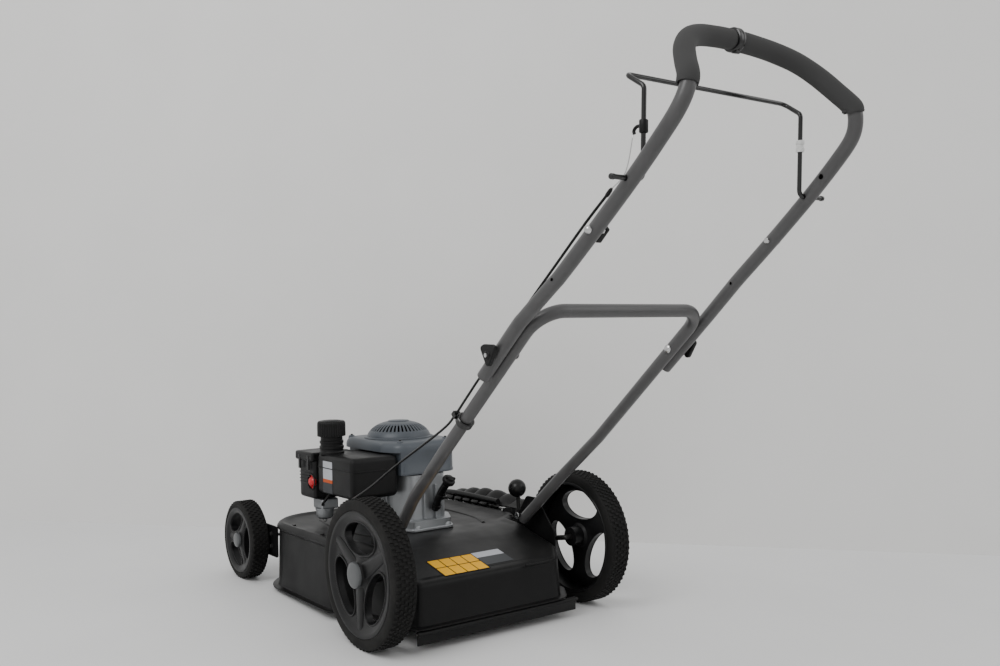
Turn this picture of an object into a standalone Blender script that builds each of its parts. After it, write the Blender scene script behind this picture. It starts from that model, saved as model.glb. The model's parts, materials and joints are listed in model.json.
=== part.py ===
"""Petrol rotary mower with high rear wheels: the working model, in metres.

+X is the operator's right, +Y the way the mower travels, +Z up. The origin is on
the ground in the centre plane, half way between the grip and the front wheels.
The deck and the engine lean nose down together, so they hang from one empty.
"""
import math

import bmesh
import bpy
from mathutils import Matrix, Vector

# Driving dimensions
REAR_AXLE_Y = 0.025
WHEELBASE = 0.6575
REAR_R = 0.1524
FRONT_R = 0.098
REAR_TYRE_WIDTH = 0.052
FRONT_TYRE_WIDTH = 0.046
REAR_WHEEL_X = 0.281
FRONT_WHEEL_X = 0.273
DECK_LEAN = math.radians(-1.9)
GAP = 0.0003

TUBE_R = 0.0125
TUBE_WALL = 0.0014
FOAM_R = 0.0175
FOAM_BORE_R = 0.0146
LOWER_LEG_X = 0.203
UPPER_LEG_X = 0.2297
MID_LEG_X = 0.2155
FOLD_Y, FOLD_Z = -0.350, 0.609
BAIL_Y, BAIL_Z = -0.663, 0.885
BAIL_R = 0.004
MID_BOLT_Y, MID_BOLT_Z = -0.585, 0.8127
TUBE_RISE = math.radians(42.8)

# Deck frame: origin at the middle of the rear axle
CRANK_Y = 0.345
BLADE_R = 0.222
SHEET = 0.002
TOP_Z = 0.0237
SLOPE_START_Y = -0.090
SLOPE_END_Y = 0.098
BEAD_START_Y = 0.060
SLOPE = 0.234
REAR_SKIRT_Z = -0.105
SIDE_SKIRT_Z = -0.125
PIVOT_Y, PIVOT_Z = 0.075, -0.012
HINGE_X, HINGE_Z = 0.2655, 0.0310
FLAP_Y, FLAP_Z = -0.0945, -0.1150

WHEEL_STEPS = 28
ROUND = 18

COLOURS = {
    "deck_paint": ((0.012, 0.012, 0.012), 0.0, 0.42),
    "tube_paint": ((0.055, 0.057, 0.062), 0.3, 0.40),
    "foam": ((0.030, 0.030, 0.032), 0.0, 0.85),
    "black_plastic": ((0.010, 0.010, 0.010), 0.0, 0.45),
    "gloss_black": ((0.006, 0.006, 0.006), 0.0, 0.18),
    "tyre": ((0.016, 0.016, 0.016), 0.0, 0.80),
    "wheel_plastic": ((0.014, 0.014, 0.015), 0.0, 0.50),
    "shroud_paint": ((0.075, 0.088, 0.110), 0.1, 0.45),
    "cast_aluminium": ((0.36, 0.37, 0.38), 0.9, 0.50),
    "bright_steel": ((0.60, 0.60, 0.60), 1.0, 0.30),
    "dark_steel": ((0.05, 0.05, 0.05), 0.8, 0.45),
    "white_plastic": ((0.75, 0.75, 0.74), 0.0, 0.50),
    "red_rubber": ((0.45, 0.02, 0.03), 0.0, 0.45),
}


def clear_scene():
    for obj in list(bpy.data.objects):
        bpy.data.objects.remove(obj, do_unlink=True)


def new_collection(name):
    collection = bpy.data.collections.new(name)
    bpy.context.scene.collection.children.link(collection)
    return collection


def make_material(name):
    colour, metallic, roughness = COLOURS[name]
    material = bpy.data.materials.new(name)
    material.use_nodes = True
    shader = material.node_tree.nodes["Principled BSDF"]
    shader.inputs["Base Color"].default_value = (*colour, 1.0)
    shader.inputs["Metallic"].default_value = metallic
    shader.inputs["Roughness"].default_value = roughness
    return material


clear_scene()
MOWER = new_collection("rotary_mower")
CUTTERS = new_collection("cutters")
MATERIALS = {name: make_material(name) for name in COLOURS}


def new_empty(name, location, rotation=(0.0, 0.0, 0.0)):
    empty = bpy.data.objects.new(name, None)
    empty.location = location
    empty.rotation_euler = rotation
    MOWER.objects.link(empty)
    return empty


DECK_FRAME = new_empty("deck_frame", (0.0, REAR_AXLE_Y, REAR_R), (DECK_LEAN, 0.0, 0.0))


def hang(names, axis_name, location, parent=None):
    """Put pieces under an empty that stands on their joint's axis, leaving them where they are."""
    axis = new_empty(axis_name, location)
    axis.parent = parent
    for name in names:
        piece = bpy.data.objects[name]
        piece.parent = axis
        piece.matrix_parent_inverse = Matrix.Translation(location).inverted()


def link(obj, material, parent=None):
    MOWER.objects.link(obj)
    obj.parent = parent
    if material:
        obj.data.materials.append(MATERIALS[material])
    return obj


def as_cutter(obj):
    """Move a finished solid to the cutters, where the build leaves it out."""
    MOWER.objects.unlink(obj)
    CUTTERS.objects.link(obj)
    obj.hide_render = True
    obj.display_type = "WIRE"
    return obj


def combine(target, cutter, operation="DIFFERENCE"):
    modifier = target.modifiers.new(cutter.name, "BOOLEAN")
    modifier.operation = operation
    modifier.object = cutter
    return target


def cut(target, cutter):
    return combine(target, as_cutter(cutter))


def join(target, cutter):
    return combine(target, as_cutter(cutter), "UNION")


def smooth(mesh, angle=35.0):
    mesh.shade_smooth()
    mesh.set_sharp_from_angle(angle=math.radians(angle))


def mesh_object(name, bm, material=None, location=(0, 0, 0), rotation=(0, 0, 0), parent=None):
    mesh = bpy.data.meshes.new(name)
    bm.to_mesh(mesh)
    bm.free()
    smooth(mesh)
    obj = bpy.data.objects.new(name, mesh)
    obj.location = location
    obj.rotation_euler = rotation
    return link(obj, material, parent)


def block(name, size, location, material=None, parent=None, bevel=0.0, rotation=(0, 0, 0)):
    bm = bmesh.new()
    bmesh.ops.create_cube(bm, size=1.0)
    bmesh.ops.scale(bm, vec=size, verts=bm.verts)
    obj = mesh_object(name, bm, material, location, rotation, parent)
    if bevel:
        modifier = obj.modifiers.new("rounded edges", "BEVEL")
        modifier.width = bevel
        modifier.segments = 2
    return obj


def cylinder(name, radius, length, location, axis="Z", material=None, parent=None,
             sides=ROUND, top_radius=None, scale=(1, 1, 1)):
    """A cylinder or cone centred on its location, along the named axis."""
    bm = bmesh.new()
    top = radius if top_radius is None else top_radius
    bmesh.ops.create_cone(bm, cap_ends=True, segments=sides, radius1=radius, radius2=top, depth=length)
    bmesh.ops.scale(bm, vec=scale, verts=bm.verts)
    turn = {"X": (0, math.pi / 2, 0), "Y": (-math.pi / 2, 0, 0), "Z": (0, 0, 0)}[axis]
    return mesh_object(name, bm, material, location, turn, parent)


def turned(name, profile, location, rotation=(0, 0, 0), material=None, parent=None,
           steps=ROUND, closed=False, phase=0.0):
    """Turn a profile of (radius, height) points, listed down its outer side, about local Z."""
    bm = bmesh.new()
    points = [bm.verts.new((r * math.cos(phase), r * math.sin(phase), h)) for r, h in profile]
    for first, second in zip(points, points[1:]):
        bm.edges.new((first, second))
    if closed:
        bm.edges.new((points[-1], points[0]))
    obj = mesh_object(name, bm, material, location, rotation, parent)
    screw = obj.modifiers.new("turned", "SCREW")
    screw.axis = "Z"
    screw.steps = steps
    screw.render_steps = steps
    screw.use_merge_vertices = True
    screw.merge_threshold = 0.00001
    screw.use_smooth_shade = False
    return obj


def curve_to_mesh(curve_obj):
    """Bake a curve into a mesh object of the same name and place, with its caps welded."""
    bpy.context.view_layer.update()
    evaluated = curve_obj.evaluated_get(bpy.context.evaluated_depsgraph_get())
    mesh = bpy.data.meshes.new_from_object(evaluated)
    bm = bmesh.new()
    bm.from_mesh(mesh)
    bmesh.ops.remove_doubles(bm, verts=bm.verts, dist=0.00001)
    bm.to_mesh(mesh)
    bm.free()
    name = curve_obj.name
    matrix = curve_obj.matrix_world.copy()
    bpy.data.objects.remove(curve_obj, do_unlink=True)
    obj = bpy.data.objects.new(name, mesh)
    smooth(mesh)
    MOWER.objects.link(obj)
    obj.matrix_world = matrix
    return obj


def rod(name, points, radius, material=None, parent=None, resolution=2, caps=True):
    """A round bar along a line of points."""
    curve = bpy.data.curves.new(name, "CURVE")
    curve.dimensions = "3D"
    curve.bevel_depth = radius
    curve.bevel_resolution = resolution
    curve.use_fill_caps = caps
    spline = curve.splines.new("POLY")
    spline.points.add(len(points) - 1)
    for target, point in zip(spline.points, points):
        target.co = (*point, 1.0)
    obj = bpy.data.objects.new(name, curve)
    return link(obj, material, parent)


def tube(name, points, radius, wall, material, resolution=2):
    """A hollow bent tube, open at both ends."""
    obj = curve_to_mesh(rod(name, points, radius, resolution=resolution, caps=False))
    obj.data.materials.append(MATERIALS[material])
    shell = obj.modifiers.new("tube wall", "SOLIDIFY")
    shell.thickness = wall
    shell.offset = -1.0
    return obj


def sleeve(name, points, outer, inner, material, parent=None, resolution=2):
    """A soft sleeve with a bore, following the tube inside it."""
    obj = curve_to_mesh(rod(name, points, outer, resolution=resolution, caps=False))
    obj.data.materials.append(MATERIALS[material])
    obj.parent = parent
    shell = obj.modifiers.new("bore", "SOLIDIFY")
    shell.thickness = outer - inner
    shell.offset = -1.0
    return obj


def plate(name, outline, thickness, location, rotation=(0, 0, 0), material=None, parent=None):
    """A flat plate cut to an outline in its own XY plane, centred on its thickness."""
    curve = bpy.data.curves.new(name, "CURVE")
    curve.dimensions = "2D"
    curve.fill_mode = "BOTH"
    curve.extrude = thickness / 2
    spline = curve.splines.new("POLY")
    spline.points.add(len(outline) - 1)
    for target, (x, y) in zip(spline.points, outline):
        target.co = (x, y, 0.0, 1.0)
    spline.use_cyclic_u = True
    obj = bpy.data.objects.new(name, curve)
    obj.location = location
    obj.rotation_euler = rotation
    link(obj, None, parent)
    solid = curve_to_mesh(obj)
    if material:
        solid.data.materials.append(MATERIALS[material])
    return solid


def fillet(corners, steps=4):
    """Round the corners of a line. Each corner is (x, y, radius); radius 0 keeps it sharp."""
    points = []
    for index, (x, y, radius) in enumerate(corners):
        here = Vector((x, y))
        if radius == 0.0 or index in (0, len(corners) - 1):
            points.append(here)
            continue
        before = (Vector(corners[index - 1][:2]) - here).normalized()
        after = (Vector(corners[index + 1][:2]) - here).normalized()
        half = before.angle(after) / 2
        reach = radius / math.tan(half)
        centre = here + (before + after).normalized() * (radius / math.sin(half))
        start = here + before * reach - centre
        end = here + after * reach - centre
        sweep = start.angle_signed(end)
        for step in range(steps + 1):
            points.append(centre + Matrix.Rotation(-sweep * step / steps, 2) @ start)
    return points


def fillet_closed(corners, steps=3):
    """Round every corner of a closed outline of (x, y, radius) corners."""
    looped = [corners[-1], *corners, corners[0]]
    return fillet(looped, steps)[1:-1]


def bend(points, radius, steps=4):
    """Round the inner corners of a 3D line of points with one bend radius."""
    line = [Vector(point) for point in points]
    result = [line[0]]
    for before, here, after in zip(line, line[1:], line[2:]):
        back = (before - here).normalized()
        on = (after - here).normalized()
        half = back.angle(on) / 2
        if half > math.radians(88):
            result.append(here)
            continue
        reach = radius / math.tan(half)
        centre = here + (back + on).normalized() * (radius / math.sin(half))
        start = here + back * reach - centre
        end = here + on * reach - centre
        axis = start.cross(end)
        sweep = start.angle(end)
        for step in range(steps + 1):
            result.append(centre + Matrix.Rotation(sweep * step / steps, 3, axis) @ start)
    result.append(line[-1])
    return [tuple(point) for point in result]


def flow(points, steps=4):
    """A smooth Catmull-Rom curve through 3D points, as a dense list."""
    line = [Vector(point) for point in points]
    line = [2 * line[0] - line[1], *line, 2 * line[-1] - line[-2]]
    result = []
    for a, b, c, d in zip(line, line[1:], line[2:], line[3:]):
        for step in range(steps):
            t = step / steps
            result.append(0.5 * (2 * b + (c - a) * t + (2 * a - 5 * b + 4 * c - d) * t * t
                                 + (3 * b - a - 3 * c + d) * t ** 3))
    result.append(line[-2])
    return [tuple(point) for point in result]


def mirrored(points):
    """The same 3D points on the other side of the centre plane."""
    return [(-x, y, z) for x, y, z in points]


def sides():
    return (("left", -1), ("right", 1))


# ---------------------------------------------------------------- wheels

def oval_window(name, long_radius, short_radius, centre_radius, angle, depth):
    """A cutter for one of a wheel's three windows."""
    bm = bmesh.new()
    bmesh.ops.create_cone(bm, cap_ends=True, segments=16, radius1=1.0, radius2=1.0, depth=depth)
    bmesh.ops.scale(bm, vec=(short_radius, long_radius, 1.0), verts=bm.verts)
    bmesh.ops.translate(bm, vec=(centre_radius, 0, 0), verts=bm.verts)
    bmesh.ops.rotate(bm, matrix=Matrix.Rotation(angle, 3, "Z"), verts=bm.verts)
    return mesh_object(name, bm)


def wheel(end, side, sign, centre, radius, width, cap_height, window, turn):
    """A tyre on a moulded three-spoke wheel, its axle along X and its outside facing out."""
    tag = f"{end}_{side}"
    out = (0, sign * math.pi / 2, 0)
    half = width / 2
    seat = radius * 0.84
    face = half - 0.006
    hub = radius * 0.15
    phase = math.pi / WHEEL_STEPS
    tread = radius / math.cos(phase)
    shoulder = tread - 0.004
    tyre_profile = [(seat + GAP, half), (shoulder, half), (tread, half - 0.005),
                    (tread, -half + 0.005), (shoulder, -half), (seat + GAP, -half)]
    turned(f"tyre_{tag}", tyre_profile, centre, out, "tyre", steps=WHEEL_STEPS, closed=True, phase=phase)
    band = seat - 0.006
    bore = 0.0067
    rim_profile = [(bore, half + cap_height), (hub * 0.9, half + cap_height), (hub + 0.003, face),
                   (band - 0.006, face), (band, half), (seat, half), (seat, -half), (band, -half),
                   (band, face - 0.014), (hub, face - 0.014), (hub, -half + 0.002), (bore, -half + 0.002)]
    rim = turned(f"rim_{tag}", rim_profile, centre, out, "wheel_plastic", steps=WHEEL_STEPS, closed=True,
                 phase=phase)
    long_radius, short_radius, centre_radius = window
    for index in range(3):
        angle = turn + index * math.tau / 3
        cutter = oval_window(f"window_{tag}_{index}", long_radius, short_radius, centre_radius, angle, width)
        cutter.location = centre
        cutter.rotation_euler = out
        cut(rim, cutter)


def make_wheels():
    for side, sign in sides():
        # Local +X of an outward-turned wheel points down on the right and up on the left.
        up = math.pi if sign > 0 else 0.0
        wheel("rear", side, sign, (sign * REAR_WHEEL_X, REAR_AXLE_Y, REAR_R), REAR_R, REAR_TYRE_WIDTH,
              0.012, (0.062, 0.033, 0.072), up)
        wheel("front", side, sign, (sign * FRONT_WHEEL_X, REAR_AXLE_Y + WHEELBASE, FRONT_R), FRONT_R,
              FRONT_TYRE_WIDTH, 0.006, (0.040, 0.021, 0.047), up + sign * math.radians(90))


# ---------------------------------------------------------------- deck

def clamp(value, low=0.0, high=1.0):
    return max(low, min(high, value))


def top_height(y):
    """Height of the deck's top at a distance along it: a slope at the rear, then flat."""
    return min(TOP_Z, TOP_Z - (SLOPE_END_Y - y) * SLOPE)


def skirt_height(y):
    """Height of the deck's lower edge, which steps up towards the rear."""
    return REAR_SKIRT_Z + (SIDE_SKIRT_Z - REAR_SKIRT_Z) * clamp((y + 0.02) / 0.2)


def bead(y):
    """How far the rolled bead along the top edge has risen out of the rear slope."""
    return clamp((y - BEAD_START_Y) / 0.08)


DECK_OUTLINE = [(0.150, SLOPE_START_Y, 0.035), (0.197, -0.025, 0.05), (0.197, BEAD_START_Y, 0),
                (0.197, SLOPE_END_Y, 0), (0.197, 0.168, 0.03), (0.255, 0.212, 0.03), (0.255, 0.592, 0.125),
                (-0.259, 0.592, 0.125), (-0.259, 0.212, 0.03), (-0.222, 0.168, 0.03),
                (-0.222, SLOPE_END_Y, 0), (-0.222, BEAD_START_Y, 0), (-0.222, SLOPE_START_Y, 0.018)]


def deck_rings():
    """The shell's levels from its flange to its top: how far in from the outline, and how high."""
    return [(lambda y: -0.014, skirt_height),
            (lambda y: 0.0, lambda y: skirt_height(y) + 0.001),
            (lambda y: 0.004, lambda y: top_height(y) - 0.015),
            (lambda y: 0.004 - 0.006 * bead(y), lambda y: top_height(y) - 0.009 + 0.003 * bead(y)),
            (lambda y: 0.007 + 0.001 * bead(y), lambda y: top_height(y) - 0.003 + 0.008 * bead(y)),
            (lambda y: 0.014 + 0.004 * bead(y), lambda y: top_height(y) - 0.0005 + 0.0055 * bead(y)),
            (lambda y: 0.028, top_height)]


def deck_shell():
    """The pressed steel shell: rings from the flange up to the top, given its sheet thickness."""
    outline = fillet_closed(DECK_OUTLINE)
    count = len(outline)
    bm = bmesh.new()
    loops = []
    for sideways, height in deck_rings():
        loop = []
        for index, point in enumerate(outline):
            along = (outline[(index + 1) % count] - outline[index - 1]).normalized()
            moved = point + Vector((-along.y, along.x)) * sideways(point.y)
            loop.append(bm.verts.new((moved.x, moved.y, height(point.y))))
        loops.append(loop)
    for lower, upper in zip(loops, loops[1:]):
        for index in range(count):
            after = (index + 1) % count
            bm.faces.new((lower[index], lower[after], upper[after], upper[index]))
    seam = [index for index, point in enumerate(outline) if abs(point.y - SLOPE_END_Y) < 0.0001]
    right_seam, left_seam = seam
    top = loops[-1]
    bm.faces.new(top[right_seam:left_seam + 1])
    bm.faces.new([*top[left_seam:], *top[:right_seam + 1]])
    deck = mesh_object("deck", bm, "deck_paint", parent=DECK_FRAME)
    sheet = deck.modifiers.new("sheet", "SOLIDIFY")
    sheet.thickness = SHEET
    sheet.offset = -1.0
    sheet.use_even_offset = True
    return deck


def make_deck():
    deck = deck_shell()
    cut(deck, cylinder("crank_hole", 0.045, 0.05, (0, CRANK_Y, TOP_Z), parent=DECK_FRAME))
    cut(deck, cylinder("pivot_holes", 0.009, 0.50, (0, PIVOT_Y, PIVOT_Z), "X", parent=DECK_FRAME, sides=16))
    cut(deck, block("discharge_mouth", (0.12, 0.265, 0.125), (0.235, 0.3575, -0.0705), parent=DECK_FRAME))


def make_rear_flap():
    """The trailing shield hangs from a rod under the deck's rear edge."""
    left, right = -0.225, 0.188
    middle = (left + right) / 2
    length = right - left
    rod("flap_rod", [(left - 0.006, FLAP_Y, FLAP_Z), (right + 0.006, FLAP_Y, FLAP_Z)], 0.0028,
        "dark_steel", DECK_FRAME)
    flap = cylinder("rear_flap", 0.0052, length, (middle, FLAP_Y, FLAP_Z), "X", "black_plastic", DECK_FRAME,
                    sides=16)
    drop = 0.0125
    below = (middle, FLAP_Y - drop * math.sin(DECK_LEAN), FLAP_Z - drop * math.cos(DECK_LEAN))
    join(flap, block("flap_blade", (length, 0.003, 0.021), below, parent=DECK_FRAME,
                     rotation=(-DECK_LEAN, 0, 0)))
    cut(flap, cylinder("flap_bore", 0.0033, length + 0.02, (middle, FLAP_Y, FLAP_Z), "X",
                       parent=DECK_FRAME, sides=16))


def deflector_crest(y):
    """Height of the deflector's ribbed back above its edge line, along its length."""
    reach = clamp((y - 0.205) / 0.345)
    envelope = math.sin(math.pi * clamp(0.12 + 0.80 * reach)) ** 0.8
    ribs = abs(math.sin(math.pi * 6 * reach))
    return 0.35 + 0.45 * envelope + 0.20 * envelope * ribs ** 0.6


def make_deflector():
    """The discharge chute: a ribbed flap hinged on a rod along the deck's right edge."""
    section = [(0.004, 0.0065, 0.0), (0.020, 0.025, 0.8), (0.036, 0.034, 1.0), (0.054, 0.030, 1.0),
               (0.080, -0.004, 0.5), (0.102, -0.058, 0.1), (0.112, -0.104, 0.0)]
    bm = bmesh.new()
    rows = []
    columns = 24
    for column in range(columns + 1):
        y = 0.200 + 0.355 * column / columns
        crest = deflector_crest(y)
        row = [bm.verts.new((x, y - CRANK_Y, z - share * (1.0 - crest) * 0.040)) for x, z, share in section]
        rows.append(row)
    for near, far in zip(rows, rows[1:]):
        for index in range(len(section) - 1):
            bm.faces.new((near[index], near[index + 1], far[index + 1], far[index]))
    deflector = mesh_object("discharge_deflector", bm, "black_plastic", (HINGE_X, CRANK_Y, HINGE_Z),
                            parent=DECK_FRAME)
    wall = deflector.modifiers.new("wall", "SOLIDIFY")
    wall.thickness = 0.003
    wall.offset = -1.0
    barrel_y, barrel_length = 0.437, 0.20
    join(deflector, cylinder("deflector_barrel", 0.0075, barrel_length, (HINGE_X, barrel_y, HINGE_Z), "Y",
                             parent=DECK_FRAME, sides=16))
    cut(deflector, cylinder("deflector_bore", 0.0036, 0.5, (HINGE_X, CRANK_Y, HINGE_Z), "Y",
                            parent=DECK_FRAME, sides=16))
    inboard = HINGE_X - 0.022
    foot = TOP_Z + 0.0055 + 0.0035
    rod_line = [(inboard, 0.250, foot), (inboard + 0.010, 0.250, HINGE_Z), (HINGE_X, 0.256, HINGE_Z),
                (HINGE_X, 0.566, HINGE_Z)]
    rod("deflector_rod", rod_line, 0.003, "dark_steel", DECK_FRAME)
    spring_profile = [(0.0037, 0.019), (0.0060, 0.019), (0.0060, -0.019), (0.0037, -0.019)]
    turned("deflector_spring", spring_profile, (HINGE_X, 0.312, HINGE_Z), (math.pi / 2, 0, 0),
           "bright_steel", DECK_FRAME, steps=16, closed=True)


# ---------------------------------------------------------------- axles, height lever and brackets

def make_axles():
    arm_in, arm_out = 0.229, 0.244
    half = [(arm_in, PIVOT_Y, PIVOT_Z), (arm_out, 0.0, 0.0), (REAR_WHEEL_X + 0.034, 0.0, 0.0)]
    rod("rear_axle", [*reversed(mirrored(half)), *half], 0.006, "dark_steel", DECK_FRAME, resolution=3)
    lever_foot = (0.2135, PIVOT_Y + 0.0118, PIVOT_Z)
    lever = [lever_foot, (0.2140, 0.118, -0.004), (0.2130, 0.1325, 0.014), (0.2100, 0.1350, 0.050),
             (0.2085, 0.1355, 0.082)]
    rod("height_lever", flow(lever, 2), 0.0050, "dark_steel", DECK_FRAME)
    bm = bmesh.new()
    bmesh.ops.create_uvsphere(bm, u_segments=14, v_segments=8, radius=0.022)
    mesh_object("height_knob", bm, "black_plastic", (0.2060, 0.1355, 0.1045), parent=DECK_FRAME)
    hang(["rear_axle", "height_lever", "height_knob"], "height_axis", (0.0, PIVOT_Y, PIVOT_Z), DECK_FRAME)
    axle_y = REAR_AXLE_Y + WHEELBASE
    reach = FRONT_WHEEL_X + 0.026
    rod("front_axle", [(-reach, axle_y, FRONT_R), (reach, axle_y, FRONT_R)], 0.006, "bright_steel",
        resolution=3)
    for side, sign in sides():
        outline = fillet_closed([(-0.042, -0.055, 0.006), (0.094, -0.055, 0.018), (0.094, 0.000, 0.018),
                                 (0.058, 0.022, 0.015), (-0.042, 0.022, 0.006)])
        bracket = plate(f"front_bracket_{side}", outline, 0.003, (sign * 0.2440, 0.571, -0.010),
                        (math.pi / 2, 0, math.pi / 2), "deck_paint", DECK_FRAME)
        cut(bracket, cylinder(f"front_axle_hole_{side}", 0.0066, 0.03, (sign * 0.2440, axle_y, FRONT_R), "X",
                              sides=16))


def make_handle_brackets():
    """Upright plates with the studs the handle hangs on: one beside the deck, one standing on it."""
    shoulder = [(0.128, 0.044, 0.008), (0.092, 0.092, 0.012), (0.052, 0.092, 0.012)]
    beside = [(-0.012, -0.060, 0.008), (0.052, -0.060, 0.008), (0.128, -0.024, 0.008), *shoulder,
              (-0.012, 0.020, 0.015)]
    on_top = [(-0.010, -0.0007, 0.001), (0.060, 0.0159, 0.02), (0.098, 0.0262, 0.02), (0.128, 0.0284, 0.002),
              *shoulder, (-0.010, 0.022, 0.008)]
    plate_x, stud_y, stud_z = 0.2012, 0.0745, 0.052
    upright = (math.pi / 2, 0, math.pi / 2)
    right = plate("handle_bracket_right", fillet_closed(beside), 0.003, (plate_x, 0, 0), upright,
                  "deck_paint", DECK_FRAME)
    cut(right, cylinder("bracket_pivot_hole", 0.0085, 0.02, (plate_x, PIVOT_Y, PIVOT_Z), "X",
                        parent=DECK_FRAME, sides=16))
    left = plate("handle_bracket_left", fillet_closed(on_top), 0.003, (-plate_x, 0, 0), upright,
                 "deck_paint", DECK_FRAME)
    foot_y = 0.028
    foot_at = (-plate_x + 0.0115, foot_y, top_height(foot_y) + 0.0022)
    join(left, block("bracket_foot", (0.026, 0.060, 0.003), foot_at, parent=DECK_FRAME,
                     rotation=(math.atan(SLOPE), 0, 0)))
    for bracket, sign in ((left, -1), (right, 1)):
        join(bracket, cylinder(f"{bracket.name}_stud", 0.004, 0.046, (sign * 0.183, stud_y, stud_z), "X",
                               parent=DECK_FRAME, sides=12))


# ---------------------------------------------------------------- handle

def lean_point(distance, out=0.0):
    """A point on the handle's straight line, up from the fold bolt, and out over its front side."""
    y = FOLD_Y - distance * math.cos(TUBE_RISE) + out * math.sin(TUBE_RISE)
    z = FOLD_Z + distance * math.sin(TUBE_RISE) + out * math.cos(TUBE_RISE)
    return y, z


def make_lower_handle():
    kink_y, kink_z = lean_point(-0.297)
    crossbar_y, crossbar_z = lean_point(0.113)
    leg = [(0.1755, 0.1010, 0.190), (0.1935, -0.009, 0.300), (LOWER_LEG_X, kink_y, kink_z),
           (LOWER_LEG_X, crossbar_y, crossbar_z)]
    path = bend([*leg, *reversed(mirrored(leg))], 0.055)
    handle = tube("lower_handle", path, TUBE_R, TUBE_WALL, "tube_paint")
    cut(handle, cylinder("lower_fold_hole", 0.0044, 0.5, (0, FOLD_Y, FOLD_Z), "X", sides=12))
    for side, sign in sides():
        cut(handle, cylinder(f"lower_stud_hole_{side}", 0.0046, 0.06, (sign * 0.180, 0.0745, 0.052), "X",
                             parent=DECK_FRAME, sides=12))


GRIP_ARCH = [(0.211, -0.722, 0.940), (0.2085, -0.753, 0.975), (0.2025, -0.764, 1.003),
             (0.1965, -0.761, 1.025), (0.181, -0.741, 1.050), (0.160, -0.719, 1.077),
             (0.130, -0.700, 1.099), (0.090, -0.685, 1.113), (0.045, -0.679, 1.119), (0.0, -0.677, 1.121)]


def upper_half_path():
    """One side of the upper handle: down the straight leg's stations, then the curved top."""
    leg = [(UPPER_LEG_X, -0.060, 0.0), (UPPER_LEG_X, 0.070, 0.0), (0.2280, 0.100, -0.0010),
           (0.2200, 0.180, -0.0050), (0.2175, 0.210, -0.0065), (MID_LEG_X, 0.311, -0.0102),
           (0.2130, 0.4186, -0.0120)]
    return [*((x, *lean_point(distance, out)) for x, distance, out in leg), *GRIP_ARCH]


def make_upper_handle():
    half = upper_half_path()
    path = [*half, *reversed(mirrored(half[:-1]))]
    handle = tube("upper_handle", path, TUBE_R, TUBE_WALL, "tube_paint")
    for name, radius, y, z in (("upper_fold_hole", 0.0044, FOLD_Y, FOLD_Z),
                               ("bail_holes", 0.0049, BAIL_Y, BAIL_Z),
                               ("mid_bolt_holes", 0.0037, MID_BOLT_Y, MID_BOLT_Z)):
        cut(handle, cylinder(name, radius, 0.56, (0, y, z), "X", sides=12))


def make_grips():
    """Foam sleeves over the top of the handle, with a band at the middle where they meet."""
    foam_end = tuple(Vector(GRIP_ARCH[2]).lerp(Vector(GRIP_ARCH[3]), 0.12))
    covered = [foam_end, *GRIP_ARCH[3:-1], (0.0090, *GRIP_ARCH[-1][1:])]
    for side, sign in sides():
        points = covered if sign > 0 else mirrored(covered)
        sleeve(f"grip_{side}", points, FOAM_R, FOAM_BORE_R, "foam")
    band_y, band_z = GRIP_ARCH[-1][1:]
    band_bore = TUBE_R + 0.0008
    band_profile = [(band_bore, 0.0055), (0.0190, 0.0055), (0.0208, 0.0038), (0.0208, -0.0038),
                    (0.0190, -0.0055), (band_bore, -0.0055)]
    turned("grip_band", band_profile, (0, band_y, band_z), (0, math.pi / 2, 0), "gloss_black",
           closed=True)


def make_bail():
    leg_x = 0.1890
    shoulder_z = 1.026
    half = [(0.256, BAIL_Y, BAIL_Z), (leg_x, BAIL_Y, BAIL_Z), (leg_x, BAIL_Y - 0.002, shoulder_z),
            (0.1915, BAIL_Y + 0.036, 1.050)]
    rounded = bend([*half, *reversed(mirrored(half))], 0.012, steps=2)
    rod("bail", rounded, BAIL_R, "gloss_black", resolution=2)
    bore = BAIL_R + 2 * GAP
    sleeve_profile = [(bore, 0.009), (0.0064, 0.009), (0.0064, -0.009), (bore, -0.009)]
    turned("bail_sleeve", sleeve_profile, (leg_x, BAIL_Y - 0.0013, 0.971), material="white_plastic",
           steps=12, closed=True)
    hook_profile = [(bore, 0.010), (0.0068, 0.010), (0.0068, -0.010), (bore, -0.010)]
    hook = turned("cable_hook", hook_profile, (-leg_x, BAIL_Y - 0.0013, 0.965), material="black_plastic",
                  steps=12, closed=True)
    join(hook, block("hook_ear", (0.006, 0.016, 0.008), (-leg_x, BAIL_Y + 0.0125, 0.961)))


def knob_outline():
    """A three-cornered wing with its point down."""
    return fillet_closed([(0.000, -0.026, 0.006), (0.024, 0.014, 0.006), (0.012, 0.019, 0.008),
                          (-0.012, 0.019, 0.008), (-0.024, 0.014, 0.006)])


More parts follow.
